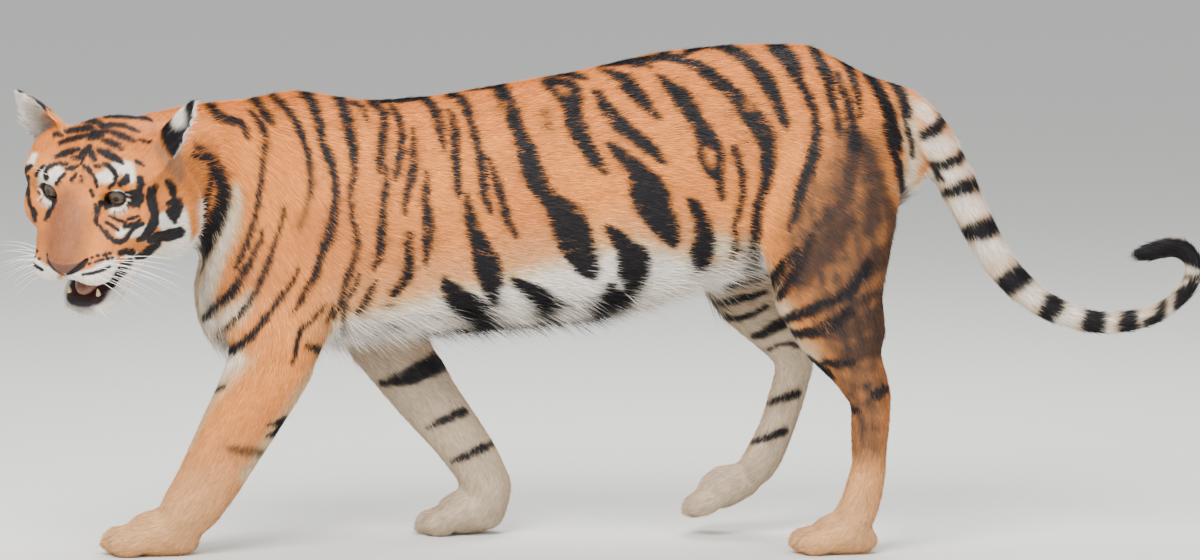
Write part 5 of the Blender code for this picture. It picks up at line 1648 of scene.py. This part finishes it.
@dataclass
class Tongue:
    """The tongue, grooved along its middle and flat where it lies on the jaw."""

    middle: tuple[float, float, float] = (0.040, 0.0, -0.1415)
    radii: tuple[float, float, float] = (0.0350, 0.0225, 0.0150)
    dip: float = 18.0
    under: float = -0.0040
    rings: int = 40
    spokes: int = 48

    def build(self) -> Thing:
        """Makes the tongue."""
        rows = []
        for ring in range(self.rings + 1):
            angle = math.pi * ring / self.rings
            for spoke in range(self.spokes):
                turn = 2.0 * math.pi * spoke / self.spokes
                rows.append((math.cos(angle), math.sin(angle) * math.cos(turn),
                             math.sin(angle) * math.sin(turn)))
        local = np.array(rows) * self.radii
        top = local[:, 2] > 0.0
        local[:, 2] -= top * 0.0022 * np.exp(-(local[:, 1] / 0.0035) ** 2)
        local[:, 2] = np.maximum(local[:, 2], self.under)
        turned = Matrix.Rotation(math.radians(self.dip), 4, "Y")
        points = placed(local, np.array(HEAD @ Matrix.Translation(self.middle) @ turned))
        faces = np.array(ring_faces(self.rings, self.spokes))
        tongue = welded(made("tongue_flesh", points, faces))
        tongue.data.shade_smooth()
        tongue.data.materials.append(
            Finish("tongue", (116, 70, 52), 0.42, coat=0.35, grain=0.5, grain_size=900.0).material())
        return tongue


@dataclass
class Canine:
    """One lower canine, curved back to its point."""

    foot: tuple[float, float, float] = (0.066, 0.0275, -0.1556)
    radius: float = 0.0046
    height: float = 0.0125
    rings: int = 14
    spokes: int = 20

    def build(self, name: str, side: float) -> Thing:
        """Makes the tooth.

        Args:
            name: The piece's name.
            side: 1 for the head's left, -1 for its right.

        Returns:
            The piece.
        """
        rows = []
        for ring in range(self.rings + 1):
            share = ring / self.rings
            wide = self.radius * (1.0 - share ** 1.5) ** 0.8 + 0.0002
            bend = -0.0014 * share ** 2
            for spoke in range(self.spokes):
                turn = 2.0 * math.pi * spoke / self.spokes
                rows.append((self.foot[0] + bend + wide * math.cos(turn),
                             side * self.foot[1] + 0.85 * wide * math.sin(turn),
                             self.foot[2] + self.height * share))
        last = len(rows)
        rows += [(self.foot[0], side * self.foot[1], self.foot[2])]
        faces = ring_faces(self.rings, self.spokes)
        faces += [(last, spoke, (spoke + 1) % self.spokes) for spoke in range(self.spokes)]
        top = self.rings * self.spokes
        faces += [(top, top + spoke + 1, top + spoke) for spoke in range(1, self.spokes - 1)]
        tooth = welded(made(name, placed(np.array(rows), HEAD_GRID), np.array(faces)))
        tooth.data.shade_smooth()
        # Ivory darkened by painted shade inside the mouth.
        tooth.data.materials.append(
            Finish(name + " ivory_in_shade", (188, 166, 120), 0.25, coat=0.4, grain=0.08).material())
        return tooth


@dataclass
class Whiskers:
    """The long stiff hairs of the whisker pads and the brows."""

    rows: int = 4
    columns: int = 4
    thick: float = 0.0018
    seed: int = 31

    def roots(self) -> tuple[list, list, list]:
        """Gives each hair's root, direction and length, in the head's frame."""
        chance = np.random.default_rng(self.seed)
        feet, ways, lengths = [], [], []
        for side in (1.0, -1.0):
            for row in range(self.rows):
                for column in range(self.columns):
                    back, down = column / (self.columns - 1), row / (self.rows - 1)
                    feet.append((0.090 - 0.036 * back, side * (0.058 + 0.018 * back),
                                 -0.080 - 0.024 * down))
                    ways.append((-0.05 - 0.40 * back + chance.normal(0.0, 0.06),
                                 side * (0.95 + chance.normal(0.0, 0.04)),
                                 -0.05 - 0.50 * down + chance.normal(0.0, 0.05)))
                    lengths.append(0.075 + 0.060 * back + chance.normal(0.0, 0.010))
            for number in range(3):
                feet.append((0.004 - 0.007 * number, side * (0.040 + 0.008 * number), 0.026))
                ways.append((0.30, side * (0.45 + 0.1 * number), 0.80))
                lengths.append(0.045 + 0.006 * number)
        return feet, ways, lengths

    def build(self, skin: Skin, tufts: Weave, material: Material) -> Thing:
        """Makes all the whiskers.

        Args:
            skin: The skin they grow from.
            tufts: The tree that grows tapering hairs.
            material: Their finish.

        Returns:
            The piece.
        """
        feet, ways, lengths = self.roots()
        tree = BVHTree.FromPolygons(skin.points.tolist(), skin.faces.tolist())
        feet = placed(np.array(feet), HEAD_GRID)
        feet = np.array([tuple(tree.find_nearest(foot)[0]) for foot in feet.tolist()])
        ways = unit(unit(np.array(ways)) @ (HEAD_GRID[:3, :3].T / HEAD_SIZE))
        length = np.array(lengths)
        host = made("whiskers", feet, np.empty((0, 3), dtype=int))
        width = self.thick * (0.6 + 0.4 * length / length.max())
        curl = np.stack((0.02 * length, 0.0 * length, -0.20 * length), axis=1)
        pale = np.tile(srgb(240, 238, 232), (len(feet), 1))
        inside = placed(feet, HEAD_INVERSE)
        root = np.stack((0.5 + 3.0 * inside[:, 1], 0.6 + 3.0 * inside[:, 2], 0.0 * length), axis=1)
        set_roots(host.data, hair=ways, out=np.tile((0.0, 0.0, 1.0), (len(feet), 1)),
                  size=np.stack((width, width, length), axis=1), curl=curl, foot=pale, tip=pale,
                  root=root)
        tufts.apply(host, Sides=5, Joints=10, Material=material, Patch=0.003)
        return host


class Stage:
    """The floor, the lights and the camera."""

    def build(self) -> None:
        """Sets them all up."""
        corners = 40.0 * np.array([(-1, -1, 0), (1, -1, 0), (1, 1, 0), (-1, 1, 0)])
        ground = made("floor", corners, np.array([(0, 1, 2), (0, 2, 3)]))
        ground.data.materials.append(Finish("pale floor", (214, 214, 210), 0.9).material())
        world = bpy.data.worlds.new("studio")
        world.use_nodes = True
        world.node_tree.nodes["Background"].inputs[0].default_value = (0.97, 0.98, 1.0, 1.0)
        world.node_tree.nodes["Background"].inputs[1].default_value = 0.80
        bpy.context.scene.world = world
        self.light("key", (-1.8, -3.4, 4.2), 3.2, 540.0, (1.0, 0.97, 0.92))
        self.light("fill", (3.4, -4.2, 2.2), 3.0, 150.0, (0.94, 0.97, 1.0))
        self.light("top", (0.4, 1.6, 4.2), 3.0, 210.0, (1.0, 1.0, 1.0))
        self.camera()

    @staticmethod
    def light(name: str, place: tuple[float, float, float], size: float, power: float,
              colour: tuple[float, float, float]) -> None:
        """Adds a soft light that looks at the body.

        Args:
            name: The light.
            place: Where it hangs.
            size: How wide it is.
            power: In watts.
            colour: Its linear colour.
        """
        lamp = bpy.data.lights.new(name, "AREA")
        lamp.shape, lamp.size, lamp.energy, lamp.color = "DISK", size, power, colour
        thing = bpy.data.objects.new(name, lamp)
        thing.location = place
        ahead = Vector((0.0, 0.1, 0.5)) - Vector(place)
        thing.rotation_euler = ahead.to_track_quat("-Z", "Y").to_euler()
        bpy.context.scene.collection.objects.link(thing)

    @staticmethod
    def camera() -> None:
        """Adds the camera where the side chart is seen from."""
        place, ahead, _ = CHART.axes()
        lens = bpy.data.cameras.new("camera")
        lens.lens, lens.sensor_width = 142.0, 36.0
        thing = bpy.data.objects.new("camera", lens)
        thing.location = place
        thing.rotation_euler = Vector(ahead).to_track_quat("-Z", "Y").to_euler()
        bpy.context.scene.collection.objects.link(thing)
        bpy.context.scene.camera = thing


@dataclass
class Tigress:
    """The whole animal."""

    skin: Skin = field(default_factory=Skin)
    markings: Markings = field(default_factory=Markings)

    def build_skin(self) -> Thing:
        """Makes the skin's piece."""
        self.skin.shape()
        skin = made("skin", self.skin.points, self.skin.faces)
        skin.data.shade_smooth()
        set_rows(skin.data, "tint", "FLOAT_COLOR",
                 self.markings.colour(self.skin.points, self.skin.normals, self.skin.parts) * SHADE)
        hide = Finish("short hair", roughness=0.62, specular=0.35, grain=0.5, grain_size=420.0)
        skin.data.materials.append(hide.material())
        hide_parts(*FLESH)
        self.settle(skin, "coat")
        return skin

    @staticmethod
    def settle(piece: Thing, slot: str) -> None:
        """Lets a piece ride the body."""
        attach(piece, "root")
        LOG.info("%s is in place", piece.name)

    def build_coat(self) -> None:
        """Grows every piece of the coat."""
        skin = self.skin
        coat = Coat(skin, self.markings, Finish("tufts", roughness=0.6, specular=0.18).material())
        inside = placed(skin.points, HEAD_INVERSE)
        region = skin.regions()
        bare = np.ones(len(region))
        for eye in EYES:
            local = eye.local(skin.points)
            bare *= ramp(eye.gap(local) + 0.1 * (local[:, 2] < 0.0), 0.0010, 0.0030)
        under = ramp(skin.normals[:, 2], -0.35, -0.7) * ramp(skin.points[:, 0], 0.46, 0.38)
        ruff = ramp(inside[:, 0], -0.06, -0.10) * ramp(inside[:, 2], 0.02, -0.03)
        lining = sum(ramp(ear.open_side(skin.normals), 0.1, 0.4) * ramp(ear.along(inside), 0.8, 0.5)
                     * on(skin.parts, name) for name, ear in EARS.items())
        bare *= 1.0 - np.clip(sum(MUZZLE.shares(inside, skin.normals, skin.parts)), 0.0, 1.0)
        corner = ramp(MUZZLE.roof(inside), 0.017, 0.013) * ramp(inside[:, 0], 0.078, 0.066)
        bare *= 1.0 - corner * (inside[:, 0] > 0.0) * on(skin.parts, "head")
        rim = ramp(MUZZLE.floor(inside), -0.0150, -0.0105) * (inside[:, 0] > -0.004)
        bare *= 1.0 - rim * on(skin.parts, "lower_jaw")
        chin = bare * ramp(skin.normals @ HEAD_GRID[:3, 2], 0.1, -0.3)
        masks = {"coat_face": bare, "coat_fringe": under, "coat_chin": chin, "coat_ruff": ruff,
                 "coat_ear_lining": lining}
        for patch in PATCHES:
            here = on(skin.parts, *patch.parts) * masks.get(patch.name, 1.0)
            self.settle(coat.grow(patch, here), "coat")
        stiff = Finish("stiff hair", roughness=0.4, specular=0.35).material()
        whiskers = Whiskers().build(skin, coat.tufts, stiff)
        self.settle(whiskers, "pale_coat")

    def build_mouth(self) -> None:
        """Makes the tongue and the lower canines."""
        tongue = Tongue().build()
        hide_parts("tongue")
        self.settle(tongue, "tongue")
        for name, side in (("canine_left", 1.0), ("canine_right", -1.0)):
            tooth = Canine().build(name, side)
            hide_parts("lower_" + name)
            self.settle(tooth, "tooth")

    def build_eyes(self) -> None:
        """Makes both eyes."""
        for seat, name in zip(EYES, ("eye_left", "eye_right")):
            ball = Eye(seat).build(name + "_ball")
            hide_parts(name)
            self.settle(ball, "eye")


def main() -> None:
    """Builds the animal and its studio."""
    logging.basicConfig(level=logging.INFO, format="%(message)s")
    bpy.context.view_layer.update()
    beast = Tigress()
    beast.build_skin()
    beast.build_eyes()
    beast.build_mouth()
    beast.build_coat()
    Stage().build()


if __name__ == "__main__":
    main()
